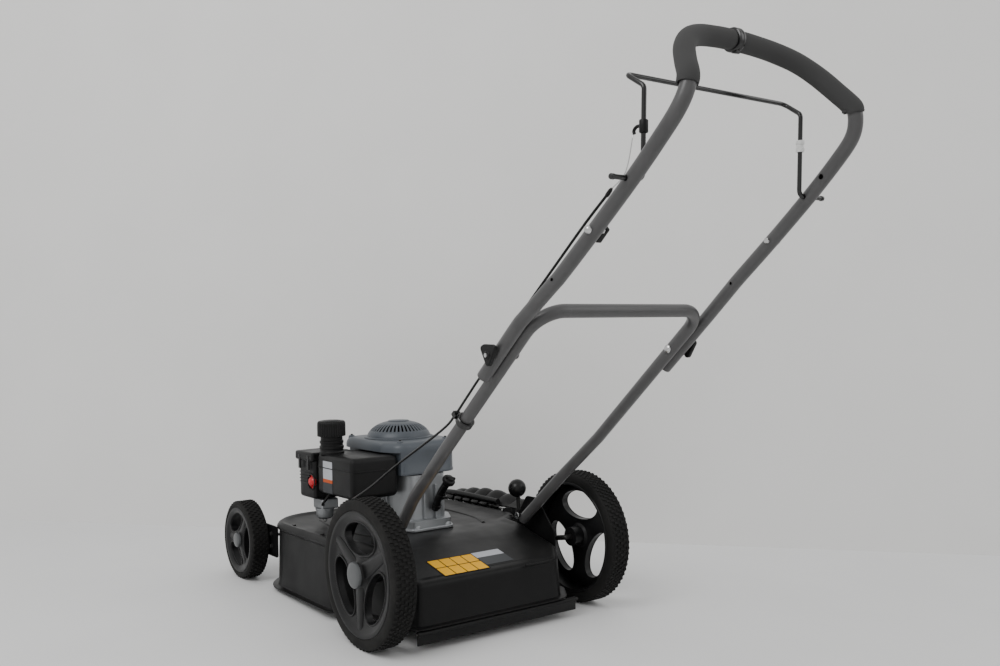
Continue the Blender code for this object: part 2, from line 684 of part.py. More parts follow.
def make_handle_fasteners():
    bolt_profile = [(0.0, 0.0040), (0.0050, 0.0034), (0.0085, 0.0010), (0.0085, 0.0), (0.0038, 0.0),
                    (0.0038, -0.070), (0.0, -0.070)]
    mid_profile = [(0.0, 0.0065), (0.0040, 0.0060), (0.0068, 0.0035), (0.0068, 0.0), (0.0030, 0.0),
                   (0.0030, -0.0268), (0.0052, -0.0268), (0.0052, -0.0310), (0.0, -0.0310)]
    for side, sign in sides():
        inwards = (0, -sign * math.pi / 2, 0)
        outwards = (0, sign * math.pi / 2, 0)
        turned(f"handle_bolt_{side}", bolt_profile, (sign * (LOWER_LEG_X - TUBE_R - GAP), FOLD_Y, FOLD_Z),
               inwards, "bright_steel", steps=16)
        knob = plate(f"wing_knob_{side}", knob_outline(), 0.012,
                     (sign * (UPPER_LEG_X + TUBE_R + 0.0075), FOLD_Y, FOLD_Z), (math.pi / 2, 0, math.pi / 2),
                     "black_plastic")
        cut(knob, cylinder(f"knob_bore_{side}", 0.0042, 0.04, (sign * (UPPER_LEG_X + 0.02), FOLD_Y, FOLD_Z),
                           "X", sides=12))
        head_x = sign * (MID_LEG_X + TUBE_R + 0.0008)
        turned(f"mid_bolt_{side}", mid_profile, (head_x, MID_BOLT_Y, MID_BOLT_Z), outwards, "bright_steel",
               steps=16)


# ---------------------------------------------------------------- brake cable

CABLE_R = 0.0024
CLAMP_AT = -0.193


def make_brake_cable():
    stop_y, stop_z = lean_point(0.300, -0.003)
    stop = block("cable_stop", (0.012, 0.030, 0.019), (-0.1925, stop_y, stop_z), "black_plastic",
                 rotation=(-TUBE_RISE, 0, 0), bevel=0.002)
    cut(stop, cylinder("stop_bolt_room", 0.0062, 0.012, (-0.1990, MID_BOLT_Y, MID_BOLT_Z), "X", sides=12))
    front = TUBE_R + CABLE_R + 0.0016
    wire_top = (-0.1890, BAIL_Y + 0.0220, 0.9570)
    wire = [wire_top, (-0.1950, *lean_point(0.405, 0.022)), (-0.2050, *lean_point(0.372, front + 0.001))]
    rod("brake_wire", wire, 0.0009, "dark_steel", resolution=1)
    upper = [(-0.2065, *lean_point(0.366, front)), (-0.2120, *lean_point(0.300, front + 0.0004)),
             (-0.2160, *lean_point(0.210, front)), (-0.2190, *lean_point(0.130, front)),
             (-0.2206, *lean_point(0.060, front)), (-0.2206, *lean_point(0.010, front + 0.001))]
    rod("brake_cable_upper", flow(upper, 2), CABLE_R, "black_plastic", resolution=1)
    lower = [(-0.2141, *lean_point(-0.010, front + 0.001)), (-0.2142, *lean_point(-0.045, front)),
             (-0.2180, *lean_point(-0.085, front)), (-0.2175, *lean_point(-0.150, front)),
             (-0.2170, *lean_point(-0.196, front + 0.0004)),
             (-0.2170, -0.150, 0.4560), (-0.2200, 0.010, 0.3705), (-0.2185, 0.130, 0.3050),
             (-0.2130, 0.240, 0.2550), (-0.1880, 0.306, 0.2360), (-0.1480, 0.325, 0.2320)]
    rod("brake_cable_lower", flow(lower, 2), CABLE_R, "black_plastic", resolution=1)
    clamp_y, clamp_z = lean_point(CLAMP_AT)
    ring = [(TUBE_R + 2 * GAP, 0.006), (0.0160, 0.006), (0.0160, -0.006), (TUBE_R + 2 * GAP, -0.006)]
    along_tube = (math.pi / 2 - TUBE_RISE, 0, 0)
    clamp_ring = turned("cable_clamp", ring, (-LOWER_LEG_X, clamp_y, clamp_z), along_tube, "gloss_black",
                        closed=True)
    ear_y, ear_z = lean_point(CLAMP_AT, TUBE_R + 0.004)
    join(clamp_ring, block("clamp_ear", (0.014, 0.010, 0.012), (-0.2150, ear_y, ear_z),
                           rotation=(-TUBE_RISE, 0, 0)))
    bore_y, bore_z = lean_point(CLAMP_AT, front + 0.0003)
    cable_bore = cylinder("clamp_cable_bore", 0.0034, 0.04, (-0.2170, bore_y, bore_z), sides=12)
    tube_bore = cylinder("clamp_tube_bore", TUBE_R + 2 * GAP, 0.05, (-LOWER_LEG_X, clamp_y, clamp_z))
    for bore in (cable_bore, tube_bore):
        bore.rotation_euler = along_tube
        cut(clamp_ring, bore)


# ---------------------------------------------------------------- engine

CASE_BASE = TOP_Z + GAP
SHROUD_BASE = 0.154
SHROUD_TOP = 0.231
SHROUD_STEP_X = -0.0740
TANK_TOP = 0.2035


def make_crankcase():
    """Cast crankcase on its flange, hollow from below, with the cylinder barrel at its front."""
    flange = fillet_closed([(-0.056, 0.184, 0.010), (0.044, 0.184, 0.010), (0.076, 0.245, 0.03),
                            (0.076, 0.440, 0.02), (-0.092, 0.440, 0.02), (-0.092, 0.245, 0.03)])
    case = plate("crankcase", flange, 0.024, (0, 0, CASE_BASE + 0.012), material="cast_aluminium",
                 parent=DECK_FRAME)
    upper = fillet_closed([(-0.050, 0.204, 0.02), (0.042, 0.204, 0.02), (0.060, 0.255, 0.03),
                           (0.060, 0.425, 0.015), (-0.074, 0.425, 0.015), (-0.074, 0.255, 0.03)])
    join(case, plate("case_upper", upper, 0.112, (0, 0, CASE_BASE + 0.072), parent=DECK_FRAME))
    cavity = fillet_closed([(-0.040, 0.214, 0.01), (0.034, 0.214, 0.01), (0.050, 0.262, 0.02),
                            (0.050, 0.412, 0.01), (-0.062, 0.412, 0.01), (-0.062, 0.262, 0.02)])
    cut(case, plate("case_cavity", cavity, 0.124, (0, 0, CASE_BASE + 0.056), parent=DECK_FRAME))
    cut(case, cylinder("case_shaft_bore", 0.0135, 0.2, (0, CRANK_Y, CASE_BASE + 0.12), parent=DECK_FRAME))
    cut(case, cylinder("case_barrel_bore", 0.034, 0.06, (0.010, 0.430, 0.092), "Y", parent=DECK_FRAME))


def make_cylinder():
    """Air-cooled cylinder and head: fins round a barrel with a closed front."""
    profile = [(0.0, 0.088), (0.028, 0.088), (0.036, 0.080)]
    fin_count, fin_pitch = 4, 0.016
    for index in range(fin_count):
        top = 0.074 - index * fin_pitch
        profile += [(0.036, top), (0.050, top), (0.050, top - 0.0045), (0.036, top - 0.0045)]
    profile += [(0.036, 0.0), (0.029, 0.0), (0.029, 0.070), (0.0, 0.070)]
    turned("cylinder", profile, (0.010, 0.4253 + GAP, 0.092), (-math.pi / 2, 0, 0), "cast_aluminium",
           DECK_FRAME, steps=16)
    boot_profile = [(0.0, 0.034), (0.008, 0.032), (0.009, 0.004), (0.0065, 0.0), (0.0, 0.0)]
    turned("spark_plug_boot", boot_profile, (0.010, 0.5145, 0.092), (-math.pi / 2, 0, 0), "black_plastic",
           DECK_FRAME, steps=16)
    muffler = block("muffler", (0.046, 0.088, 0.070), (0.104, 0.470, 0.092), "dark_steel", DECK_FRAME,
                    bevel=0.009)
    join(muffler, cylinder("exhaust_pipe", 0.010, 0.028, (0.0765, 0.476, 0.092), "X", parent=DECK_FRAME,
                           sides=12))


def make_shroud():
    """Blower housing: a rounded cover over the flywheel, reaching forward over the cylinder."""
    outline = fillet_closed([(-0.078, 0.206, 0.035), (0.068, 0.206, 0.035), (0.102, 0.270, 0.05),
                             (0.098, 0.470, 0.05), (-0.100, 0.470, 0.05), (-0.100, 0.262, 0.03)])
    step = TANK_TOP + 0.003
    levels = [(0.000, SHROUD_BASE, SHROUD_STEP_X), (0.000, step, SHROUD_STEP_X), (0.000, step + 0.001, -1.0),
              (0.003, SHROUD_TOP - 0.009, -1.0), (0.010, SHROUD_TOP - 0.002, -1.0),
              (0.024, SHROUD_TOP, -1.0)]
    bm = bmesh.new()
    loops = []
    centre = sum(outline, Vector((0, 0))) / len(outline)
    for shrink, height, left_limit in levels:
        loop = []
        for point in outline:
            spoke = point - centre
            moved = centre + spoke * (1.0 - shrink / spoke.length)
            loop.append(bm.verts.new((max(moved.x, left_limit), moved.y, height)))
        loops.append(loop)
    for lower, upper in zip(loops, loops[1:]):
        for index in range(len(outline)):
            after = (index + 1) % len(outline)
            bm.faces.new((lower[index], lower[after], upper[after], upper[index]))
    bm.faces.new(loops[-1])
    bmesh.ops.recalc_face_normals(bm, faces=bm.faces)
    shroud = mesh_object("blower_shroud", bm, "shroud_paint", parent=DECK_FRAME)
    shell = shroud.modifiers.new("pressing", "SOLIDIFY")
    shell.thickness = 0.0022
    shell.offset = -1.0
    cut(shroud, cylinder("shroud_intake", 0.066, 0.05, (0, CRANK_Y, SHROUD_TOP), parent=DECK_FRAME,
                         sides=32))


def make_recoil():
    """Domed starter cover with cooling slots, on top of the shroud."""
    base = SHROUD_TOP + GAP
    profile = [(0.000, 0.0400), (0.022, 0.0392), (0.042, 0.0350), (0.060, 0.0260), (0.073, 0.0130),
               (0.079, 0.0000), (0.0765, 0.0000), (0.071, 0.0110), (0.058, 0.0236), (0.041, 0.0324),
               (0.022, 0.0364), (0.000, 0.0372)]
    cover = turned("recoil_cover", profile, (0, CRANK_Y, base), material="shroud_paint", parent=DECK_FRAME,
                   steps=20)
    slot_count = 7
    for index in range(slot_count):
        x = (index - (slot_count - 1) / 2) * 0.0155
        reach = math.sqrt(0.066 ** 2 - x ** 2)
        slot = block(f"cover_slot_{index}", (0.0070, reach * 2 - 0.030, 0.06), (x, CRANK_Y, base + 0.042),
                     parent=DECK_FRAME)
        cut(cover, slot)
    grip_profile = [(0.0, 0.024), (0.010, 0.022), (0.014, 0.014), (0.009, 0.004), (0.006, 0.0), (0.0, 0.0)]
    turned("starter_handle", grip_profile, (0.1060, 0.400, 0.190), (0, math.pi / 2, 0), "black_plastic",
           DECK_FRAME, steps=16)


def make_rotating_group():
    """Flywheel, crankshaft, blade and blade bolt, which turn as one."""
    shaft_top = 0.214
    shaft_profile = [(0.0, shaft_top), (0.010, shaft_top), (0.010, 0.160), (0.0125, 0.158), (0.0125, -0.040),
                     (0.030, -0.042), (0.030, -0.0790), (0.0, -0.0790)]
    turned("crankshaft", shaft_profile, (0, CRANK_Y, 0), material="dark_steel", parent=DECK_FRAME)
    wheel_profile = [(0.0103, 0.197), (0.024, 0.197), (0.030, 0.190), (0.054, 0.190), (0.064, 0.204),
                     (0.067, 0.204), (0.067, 0.165), (0.0103, 0.165)]
    turned("flywheel", wheel_profile, (0, CRANK_Y, 0), material="cast_aluminium", parent=DECK_FRAME,
           closed=True)
    half = [(0.0, -0.026, 0), (BLADE_R - 0.012, -0.026, 0.008), (BLADE_R, 0.010, 0.012),
            (BLADE_R - 0.020, 0.026, 0.01), (0.0, 0.026, 0)]
    outline = fillet(half)
    outline = [*outline, *(Vector((-p.x, -p.y)) for p in outline[1:-1])]
    blade = plate("blade", outline, 0.0035, (0, CRANK_Y, -0.0811), material="dark_steel", parent=DECK_FRAME)
    cut(blade, cylinder("blade_bore", 0.0060, 0.02, (0, CRANK_Y, -0.0811), parent=DECK_FRAME, sides=16))
    bolt_profile = [(0.0, -0.0831 - GAP), (0.014, -0.0831 - GAP), (0.014, -0.0860), (0.0085, -0.0870),
                    (0.0085, -0.0940), (0.0, -0.0940)]
    turned("blade_bolt", bolt_profile, (0, CRANK_Y, 0), material="bright_steel", parent=DECK_FRAME,
           steps=18)


def make_fuel_tank():
    tank_height = 0.0955
    tank_x, tank_y, tank_z = -0.139, 0.3055, TANK_TOP - tank_height / 2
    tank = block("fuel_tank", (0.122, 0.177, tank_height), (tank_x, tank_y, tank_z), "black_plastic",
                 DECK_FRAME, bevel=0.010)
    neck_x, neck_y = -0.171, 0.371
    neck = cylinder("filler_neck", 0.026, 0.050, (neck_x, neck_y, 0.2180), parent=DECK_FRAME, sides=20)
    join(tank, neck)
    cut(tank, block("tank_inside", (0.112, 0.167, 0.0855), (tank_x, tank_y, tank_z), parent=DECK_FRAME,
                    bevel=0.006))
    cut(tank, cylinder("neck_bore", 0.022, 0.080, (neck_x, neck_y, 0.2190), parent=DECK_FRAME, sides=20))
    cap_profile = [(0.0, 0.037), (0.026, 0.037), (0.0325, 0.033), (0.0337, 0.028), (0.0337, 0.001),
                   (0.0330, 0.0), (0.0, 0.0)]
    turned("fuel_cap", cap_profile, (neck_x, neck_y, 0.2435), material="black_plastic", parent=DECK_FRAME)


def make_intake():
    """Air filter housing with its primer, and the carburettor under it."""
    box = block("air_filter_box", (0.102, 0.084, 0.112), (-0.1520, 0.4430, 0.1465), "black_plastic",
                DECK_FRAME, bevel=0.007)
    join(box, block("filter_lid", (0.108, 0.096, 0.022), (-0.1555, 0.4480, 0.1920), parent=DECK_FRAME,
                    bevel=0.005))
    bulb_x = -0.2010
    cut(box, cylinder("primer_seat", 0.0172, 0.016, (bulb_x + 0.002, 0.418, 0.132), "X", parent=DECK_FRAME,
                      sides=20))
    bulb = [(0.0, 0.0130), (0.006, 0.0122), (0.011, 0.0090), (0.014, 0.0050), (0.0160, 0.0040),
            (0.0160, 0.0010), (0.0, 0.0010)]
    turned("primer_bulb", bulb, (bulb_x + 0.004, 0.418, 0.132), (0, -math.pi / 2, 0), "red_rubber",
           DECK_FRAME, steps=20)
    carb = block("carburettor", (0.044, 0.050, 0.026), (-0.160, 0.430, 0.0757), "cast_aluminium", DECK_FRAME,
                 bevel=0.003)
    join(carb, cylinder("fuel_bowl", 0.020, 0.026, (-0.166, 0.424, 0.052), parent=DECK_FRAME, sides=20,
                        top_radius=0.022))


def make_oil_filler():
    foot = (0.006, 0.1945, 0.070)
    tube_line = [foot, (0.0060, 0.1800, 0.095), (0.0080, 0.1660, 0.116), (0.0110, 0.1520, 0.133)]
    rod("oil_filler_tube", flow(tube_line, 2), 0.0090, "black_plastic", DECK_FRAME)
    cap = [(0.0, 0.020), (0.008, 0.020), (0.0150, 0.015), (0.0155, 0.006), (0.012, 0.001), (0.0, 0.001)]
    turned("dipstick", cap, (0.0116, 0.1504, 0.1353), (math.radians(40), math.radians(16), 0),
           "black_plastic", DECK_FRAME, steps=16)


def make_brake_lever():
    """The stop lever pivots on a post that stands on the crankcase flange."""
    post_x, post_y, lever_z = -0.0835, 0.300, 0.0960
    outline = fillet_closed([(-0.034, -0.006, 0.004), (0.007, -0.007, 0.004), (0.007, 0.007, 0.004),
                             (-0.034, 0.006, 0.004)])
    lever = plate("brake_lever", outline, 0.0025, (post_x, post_y, lever_z), material="bright_steel",
                  parent=DECK_FRAME)
    post_foot = CASE_BASE + 0.024 + GAP
    post_length = lever_z + 0.003 - post_foot
    post_z = post_foot + post_length / 2
    join(lever, cylinder("brake_lever_post", 0.0035, post_length, (post_x, post_y, post_z),
                         parent=DECK_FRAME, sides=12))


make_wheels()
make_deck()
make_rear_flap()
make_deflector()
make_axles()
make_handle_brackets()
make_lower_handle()
make_upper_handle()
make_grips()
make_bail()
make_handle_fasteners()
make_brake_cable()
make_crankcase()
make_cylinder()
make_shroud()
make_recoil()
make_rotating_group()
make_fuel_tank()
make_intake()
make_oil_filler()
make_brake_lever()
hang(["upper_handle", "grip_left", "grip_right", "grip_band", "mid_bolt_left", "mid_bolt_right", "cable_stop",
      "brake_wire", "brake_cable_upper"], "fold_axis", (0.0, FOLD_Y, FOLD_Z))
hang(["bail", "bail_sleeve", "cable_hook"], "bail_axis", (0.0, BAIL_Y, BAIL_Z))
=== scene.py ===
"""Petrol rotary mower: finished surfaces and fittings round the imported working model.

Everything is in metres in the model's own frame: +X the operator's right, +Y the way the
mower travels, +Z up. The deck and the engine lean nose down together, so their pieces are
made in a deck frame whose origin is the middle of the rear axle.
"""
import json
import math

import bmesh
import bpy
from mathutils import Euler, Matrix, Vector

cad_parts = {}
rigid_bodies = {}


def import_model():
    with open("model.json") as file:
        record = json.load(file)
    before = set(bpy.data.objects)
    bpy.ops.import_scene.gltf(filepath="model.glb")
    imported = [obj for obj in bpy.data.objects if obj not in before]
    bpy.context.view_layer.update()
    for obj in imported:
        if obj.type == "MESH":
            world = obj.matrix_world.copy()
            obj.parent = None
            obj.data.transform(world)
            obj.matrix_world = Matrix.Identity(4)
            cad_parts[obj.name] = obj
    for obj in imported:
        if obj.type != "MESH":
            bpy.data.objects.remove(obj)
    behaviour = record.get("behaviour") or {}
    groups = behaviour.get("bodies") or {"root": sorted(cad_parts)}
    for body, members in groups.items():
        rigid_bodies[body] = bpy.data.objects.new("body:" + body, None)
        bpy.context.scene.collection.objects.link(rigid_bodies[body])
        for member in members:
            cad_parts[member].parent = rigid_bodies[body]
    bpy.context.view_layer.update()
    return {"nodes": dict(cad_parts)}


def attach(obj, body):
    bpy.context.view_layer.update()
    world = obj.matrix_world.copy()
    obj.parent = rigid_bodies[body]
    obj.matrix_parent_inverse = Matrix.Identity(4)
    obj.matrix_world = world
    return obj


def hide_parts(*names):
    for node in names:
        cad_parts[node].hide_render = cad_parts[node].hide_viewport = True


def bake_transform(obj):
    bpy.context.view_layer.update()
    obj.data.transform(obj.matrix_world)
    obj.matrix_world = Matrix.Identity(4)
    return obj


bl_info = {
    "name": "Rotary Mower",
    "version": (1, 0, 0),
    "blender": (4, 5, 0),
    "location": "3D View > Sidebar > Mower",
    "description": "Builds the finished surfaces of a walk-behind rotary mower",
    "category": "Object",
}

for leftover in list(bpy.data.objects):
    bpy.data.objects.remove(leftover, do_unlink=True)
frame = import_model()

# Wheels
REAR_AXLE, FRONT_AXLE = Vector((0.0, 0.025, 0.1524)), Vector((0.0, 0.6825, 0.098))
REAR_WHEEL_X, FRONT_WHEEL_X = 0.281, 0.273

# Deck frame, and heights and places in it
LEAN = math.radians(-1.9)
DECK = Matrix.Translation(REAR_AXLE) @ Matrix.Rotation(LEAN, 4, "X")
DECK_UP = DECK.to_3x3() @ Vector((0, 0, 1))
CRANK_Y = 0.345
TOP_Z = 0.0237
SHROUD_TOP = 0.231
TANK_TOP = 0.2035
FUEL_CAP_X, FUEL_CAP_Y = -0.171, 0.371
PRIMER_Y, PRIMER_Z = 0.418, 0.132
STARTER_Y, STARTER_Z = 0.400, 0.190
STUD_Y, STUD_Z = 0.0745, 0.052
FILLER_FOOT, FILLER_TOP = (0.006, 0.1945, 0.070), (0.0110, 0.1520, 0.133)

# Handle
TUBE_R, CABLE_R = 0.0125, 0.0024
TUBE_RISE = math.radians(42.8)
FOLD_Y, FOLD_Z = -0.350, 0.609
MID_BOLT_Y, MID_BOLT_Z = -0.585, 0.8127
BAIL_Y, BAIL_Z = -0.663, 0.885
FOOT_X, MID_LEG_X, LOWER_LEG_X, KNOB_X, BAIL_LEG_X = 0.2297, 0.2155, 0.203, 0.2497, 0.1890
CABLE_CLAMP_AT = -0.193

# Camera
CAMERA_PLACE = (-1.2579, -1.7448, 0.6917)
CAMERA_TILT, CAMERA_TURN = math.radians(90.0 - 1.473), math.radians(-36.496)


# ---------------------------------------------------------------- mesh helpers

ON_AXIS = 1e-6
WELD = 0.00001

def finish_piece(obj, material, body="chassis", replaces=(), smooth_angle=35.0):
    """Give a piece its finish, its body and its slot, and hide the model nodes it stands in for."""
    if obj.type == "MESH":
        obj.data.shade_smooth()
        obj.data.set_sharp_from_angle(angle=math.radians(smooth_angle))
        obj.data.materials.clear()
    obj.data.materials.append(finish(material))
    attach(obj, body)
    if replaces:
        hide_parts(*replaces)
    return obj


def new_object(name, data, matrix=None):
    obj = bpy.data.objects.new(name, data)
    bpy.context.scene.collection.objects.link(obj)
    if matrix is not None:
        obj.matrix_world = matrix
    return obj


def from_bmesh(name, bm, matrix=None):
    mesh = bpy.data.meshes.new(name)
    bm.to_mesh(mesh)
    bm.free()
    return new_object(name, mesh, matrix)


def bake(obj):
    """Replace an object by the mesh that its curve or its modifiers make."""
    bpy.context.view_layer.update()
    evaluated = obj.evaluated_get(bpy.context.evaluated_depsgraph_get())
    mesh = bpy.data.meshes.new_from_object(evaluated)
    name, matrix = obj.name, obj.matrix_world.copy()
    bpy.data.objects.remove(obj, do_unlink=True)
    bm = bmesh.new()
    bm.from_mesh(mesh)
    bmesh.ops.remove_doubles(bm, verts=bm.verts, dist=WELD)
    bm.to_mesh(mesh)
    bm.free()
    mesh.name = name
    return new_object(name, mesh, matrix)


def bevelled(obj, width, segments=3, angle=30.0):
    """Round an object's sharp edges."""
    modifier = obj.modifiers.new("rounded edges", "BEVEL")
    modifier.width = width
    modifier.segments = segments
    modifier.limit_method = "ANGLE"
    modifier.angle_limit = math.radians(angle)
    return obj


def cut(obj, cutters):
    """Cut one or more solids out of an object and bake the result."""
    for cutter in cutters:
        modifier = obj.modifiers.new("cut", "BOOLEAN")
        modifier.operation = "DIFFERENCE"
        modifier.solver = "EXACT"
        modifier.object = cutter
    obj = bake(obj)
    for cutter in cutters:
        bpy.data.objects.remove(cutter, do_unlink=True)
    return obj


def box(name, size, centre, matrix=None, rotation=(0, 0, 0)):
    """A block to be bevelled or to cut with."""
    bm = bmesh.new()
    bmesh.ops.create_cube(bm, size=1.0)
    bmesh.ops.scale(bm, vec=size, verts=bm.verts)
    place = Matrix.Translation(centre) @ Euler(rotation).to_matrix().to_4x4()
    return from_bmesh(name, bm, (matrix or Matrix()) @ place)


def circle(radius, count):
    return [(radius * math.cos(math.tau * i / count), radius * math.sin(math.tau * i / count)) for i in range(count)]


def ring_of(bm, radius, height, steps):
    """New vertices round local Z, or one vertex on the axis itself."""
    if radius < ON_AXIS:
        return [bm.verts.new((0, 0, height))]
    return [bm.verts.new((x, y, height)) for x, y in circle(radius, steps)]


def join_loops(bm, loops):
    """Faces between closed loops of equally many vertices."""
    for near, far in zip(loops, loops[1:]):
        for index in range(len(near)):
            after = (index + 1) % len(near)
            bm.faces.new((near[index], near[after], far[after], far[index]))


def turned(name, profile, matrix, steps=48, closed=False):
    """Turn a profile of (radius, height) points about local Z. An end on the axis is closed by a point."""
    bm = bmesh.new()
    rings = [ring_of(bm, radius, height, steps) for radius, height in profile]
    pairs = list(zip(rings, rings[1:]))
    if closed:
        pairs.append((rings[-1], rings[0]))
    for near, far in pairs:
        for i in range(steps):
            j = (i + 1) % steps
            corners = [near[i % len(near)], near[j % len(near)], far[j % len(far)], far[i % len(far)]]
            unique = list(dict.fromkeys(corners))
            if len(unique) > 2:
                bm.faces.new(unique)
    bmesh.ops.recalc_face_normals(bm, faces=bm.faces)
    return from_bmesh(name, bm, matrix)


def deck_at(x, y, z):
    """A place in the deck frame, standing square to the deck."""
    return DECK @ Matrix.Translation((x, y, z))


def axis_matrix(location, direction, twist=0.0):
    """A place whose local Z points along a direction."""
    turn = Vector(direction).to_track_quat("Z", "Y").to_matrix().to_4x4()
    return Matrix.Translation(location) @ turn @ Matrix.Rotation(twist, 4, "Z")


def cylinder(name, radius, length, location, direction, steps=32, base=None):
    matrix = (base or Matrix()) @ axis_matrix(location, direction)
    half = length / 2
    return turned(name, [(0, -half), (radius, -half), (radius, half), (0, half)], matrix, steps)


def flow(points, steps=6):
    """A smooth curve through 3D points, as a dense list."""
    line = [Vector(point) for point in points]
    line = [2 * line[0] - line[1], *line, 2 * line[-1] - line[-2]]
    result = []
    for a, b, c, d in zip(line, line[1:], line[2:], line[3:]):
        for step in range(steps):
            t = step / steps
            result.append(0.5 * (2 * b + (c - a) * t + (2 * a - 5 * b + 4 * c - d) * t * t
                                 + (3 * b - a - 3 * c + d) * t ** 3))
    result.append(line[-2])
    return result


def bend(points, radius, steps=10):
    """Round the inner corners of a 3D line of points with one bend radius."""
    line = [Vector(point) for point in points]
    result = [line[0]]
    for before, here, after in zip(line, line[1:], line[2:]):
        back = (before - here).normalized()
        on = (after - here).normalized()
        half = back.angle(on) / 2
        if half > math.radians(88):
            result.append(here)
            continue
        reach = radius / math.tan(half)
        centre = here + (back + on).normalized() * (radius / math.sin(half))
        start = here + back * reach - centre
        end = here + on * reach - centre
        axis = start.cross(end)
        sweep = start.angle(end)
        result += [centre + Matrix.Rotation(sweep * step / steps, 3, axis) @ start for step in range(steps + 1)]
    result.append(line[-1])
    return result


def pipe(name, points, radius, sides=8, caps=True, matrix=None, radii=None):
    """A round bar along a line of points, as a mesh."""
    curve = bpy.data.curves.new(name, "CURVE")
    curve.dimensions = "3D"
    curve.bevel_depth = radius
    curve.bevel_resolution = sides
    curve.use_fill_caps = caps
    spline = curve.splines.new("POLY")
    spline.points.add(len(points) - 1)
    for index, point in enumerate(points):
        spline.points[index].co = (*point, 1.0)
        if radii:
            spline.points[index].radius = radii[index]
    return bake(new_object(name, curve, matrix))


def ring_pipe(name, points, radius, matrix=None, sides=4):
    """A closed loop of round bar."""
    curve = bpy.data.curves.new(name, "CURVE")
    curve.dimensions = "3D"
    curve.bevel_depth = radius
    curve.bevel_resolution = sides
    spline = curve.splines.new("POLY")
    spline.points.add(len(points) - 1)
    spline.use_cyclic_u = True
    for target, point in zip(spline.points, points):
        target.co = (*point, 1.0)
    return bake(new_object(name, curve, matrix))


def fillet_closed(corners, steps=8):
    """Round every corner of a closed outline of (x, y, radius) corners. Radius 0 keeps one sharp."""
    points = []
    for index, (x, y, radius) in enumerate(corners):
        here = Vector((x, y))
        if radius == 0.0:
            points.append(here)
            continue
        before = (Vector(corners[index - 1][:2]) - here).normalized()
        after = (Vector(corners[(index + 1) % len(corners)][:2]) - here).normalized()
        half = before.angle(after) / 2
        reach = radius / math.tan(half)
        centre = here + (before + after).normalized() * (radius / math.sin(half))
        start = here + before * reach - centre
        sweep = start.angle_signed(here + after * reach - centre)
        points += [centre + Matrix.Rotation(-sweep * step / steps, 2) @ start for step in range(steps + 1)]
    return points


def prism(name, outline, low, high, matrix=None):
    """A straight-sided solid on a closed outline."""
    bm = bmesh.new()
    bottom = [bm.verts.new((p[0], p[1], low)) for p in outline]
    top = [bm.verts.new((p[0], p[1], high)) for p in outline]
    bm.faces.new(list(reversed(bottom)))
    bm.faces.new(top)
    for i in range(len(outline)):
        j = (i + 1) % len(outline)
        bm.faces.new((bottom[i], bottom[j], top[j], top[i]))
    bmesh.ops.recalc_face_normals(bm, faces=bm.faces)
    return from_bmesh(name, bm, matrix)


def mirrored(points):
    return [(-x, y, z) for x, y, z in points]


def sides():
    return (("left", -1), ("right", 1))


def solid_wall(obj, thickness):
    """Thicken a sheet inwards."""
    modifier = obj.modifiers.new("wall", "SOLIDIFY")
    modifier.thickness = thickness
    modifier.offset = -1.0
    return obj


def refined(node, material, body, width=0.0006, segments=2, angle=35.0):
    """A finished copy of a model node: points welded, edges softened, and shaded smooth."""
    source = frame["nodes"][node]
    mesh = source.data.copy()
    bm = bmesh.new()
    bm.from_mesh(mesh)
    bmesh.ops.remove_doubles(bm, verts=bm.verts, dist=2 * WELD)
    bmesh.ops.dissolve_limit(bm, angle_limit=math.radians(1.0), verts=bm.verts, edges=bm.edges)
    bmesh.ops.recalc_face_normals(bm, faces=bm.faces)
    obj = from_bmesh(f"{node}_finished", bm)
    bpy.data.meshes.remove(mesh)
    bevelled(obj, width, segments, angle)
    return finish_piece(obj, material, body, (node,), smooth_angle=angle)


# ---------------------------------------------------------------- finishes

def group(name, inputs, outputs, build):
    """A shader node group with named inputs and outputs, built once."""
    if name in bpy.data.node_groups:
        return bpy.data.node_groups[name]
    tree = bpy.data.node_groups.new(name, "ShaderNodeTree")
    for label, default in inputs:
        socket = tree.interface.new_socket(label, in_out="INPUT", socket_type="NodeSocketFloat")
        socket.default_value = default
    for label in outputs:
        tree.interface.new_socket(label, in_out="OUTPUT", socket_type="NodeSocketFloat")
    build(tree, tree.nodes.new("NodeGroupInput"), tree.nodes.new("NodeGroupOutput"))
    return tree


def noise(tree, vector, scale_socket, detail=3.0, roughness=0.55):
    node = tree.nodes.new("ShaderNodeTexNoise")
    node.inputs["Detail"].default_value = detail
    node.inputs["Roughness"].default_value = roughness
    tree.links.new(vector, node.inputs["Vector"])
    tree.links.new(scale_socket, node.inputs["Scale"])
    return node.outputs["Fac"]


def stretch(tree, value, low, high):
    node = tree.nodes.new("ShaderNodeMapRange")
    node.inputs["From Min"].default_value = low
    node.inputs["From Max"].default_value = high
    tree.links.new(value, node.inputs["Value"])
    return node.outputs["Result"]


def math_node(tree, operation, first, second):
    node = tree.nodes.new("ShaderNodeMath")
    node.operation = operation
    for socket, value in zip(node.inputs, (first, second)):
        if isinstance(value, (int, float)):
            socket.default_value = value
        else:
            tree.links.new(value, socket)
    return node.outputs["Value"]


def build_grain(tree, given, result):
    """Fine moulded or sprayed texture, and a slow drift over it."""
    place = tree.nodes.new("ShaderNodeTexCoord").outputs["Object"]
    tree.links.new(noise(tree, place, given.outputs["Scale"], 4.0, 0.65), result.inputs["Height"])
    slow = math_node(tree, "MULTIPLY", given.outputs["Scale"], 0.02)
    tree.links.new(stretch(tree, noise(tree, place, slow, 2.0), 0.3, 0.7), result.inputs["Drift"])


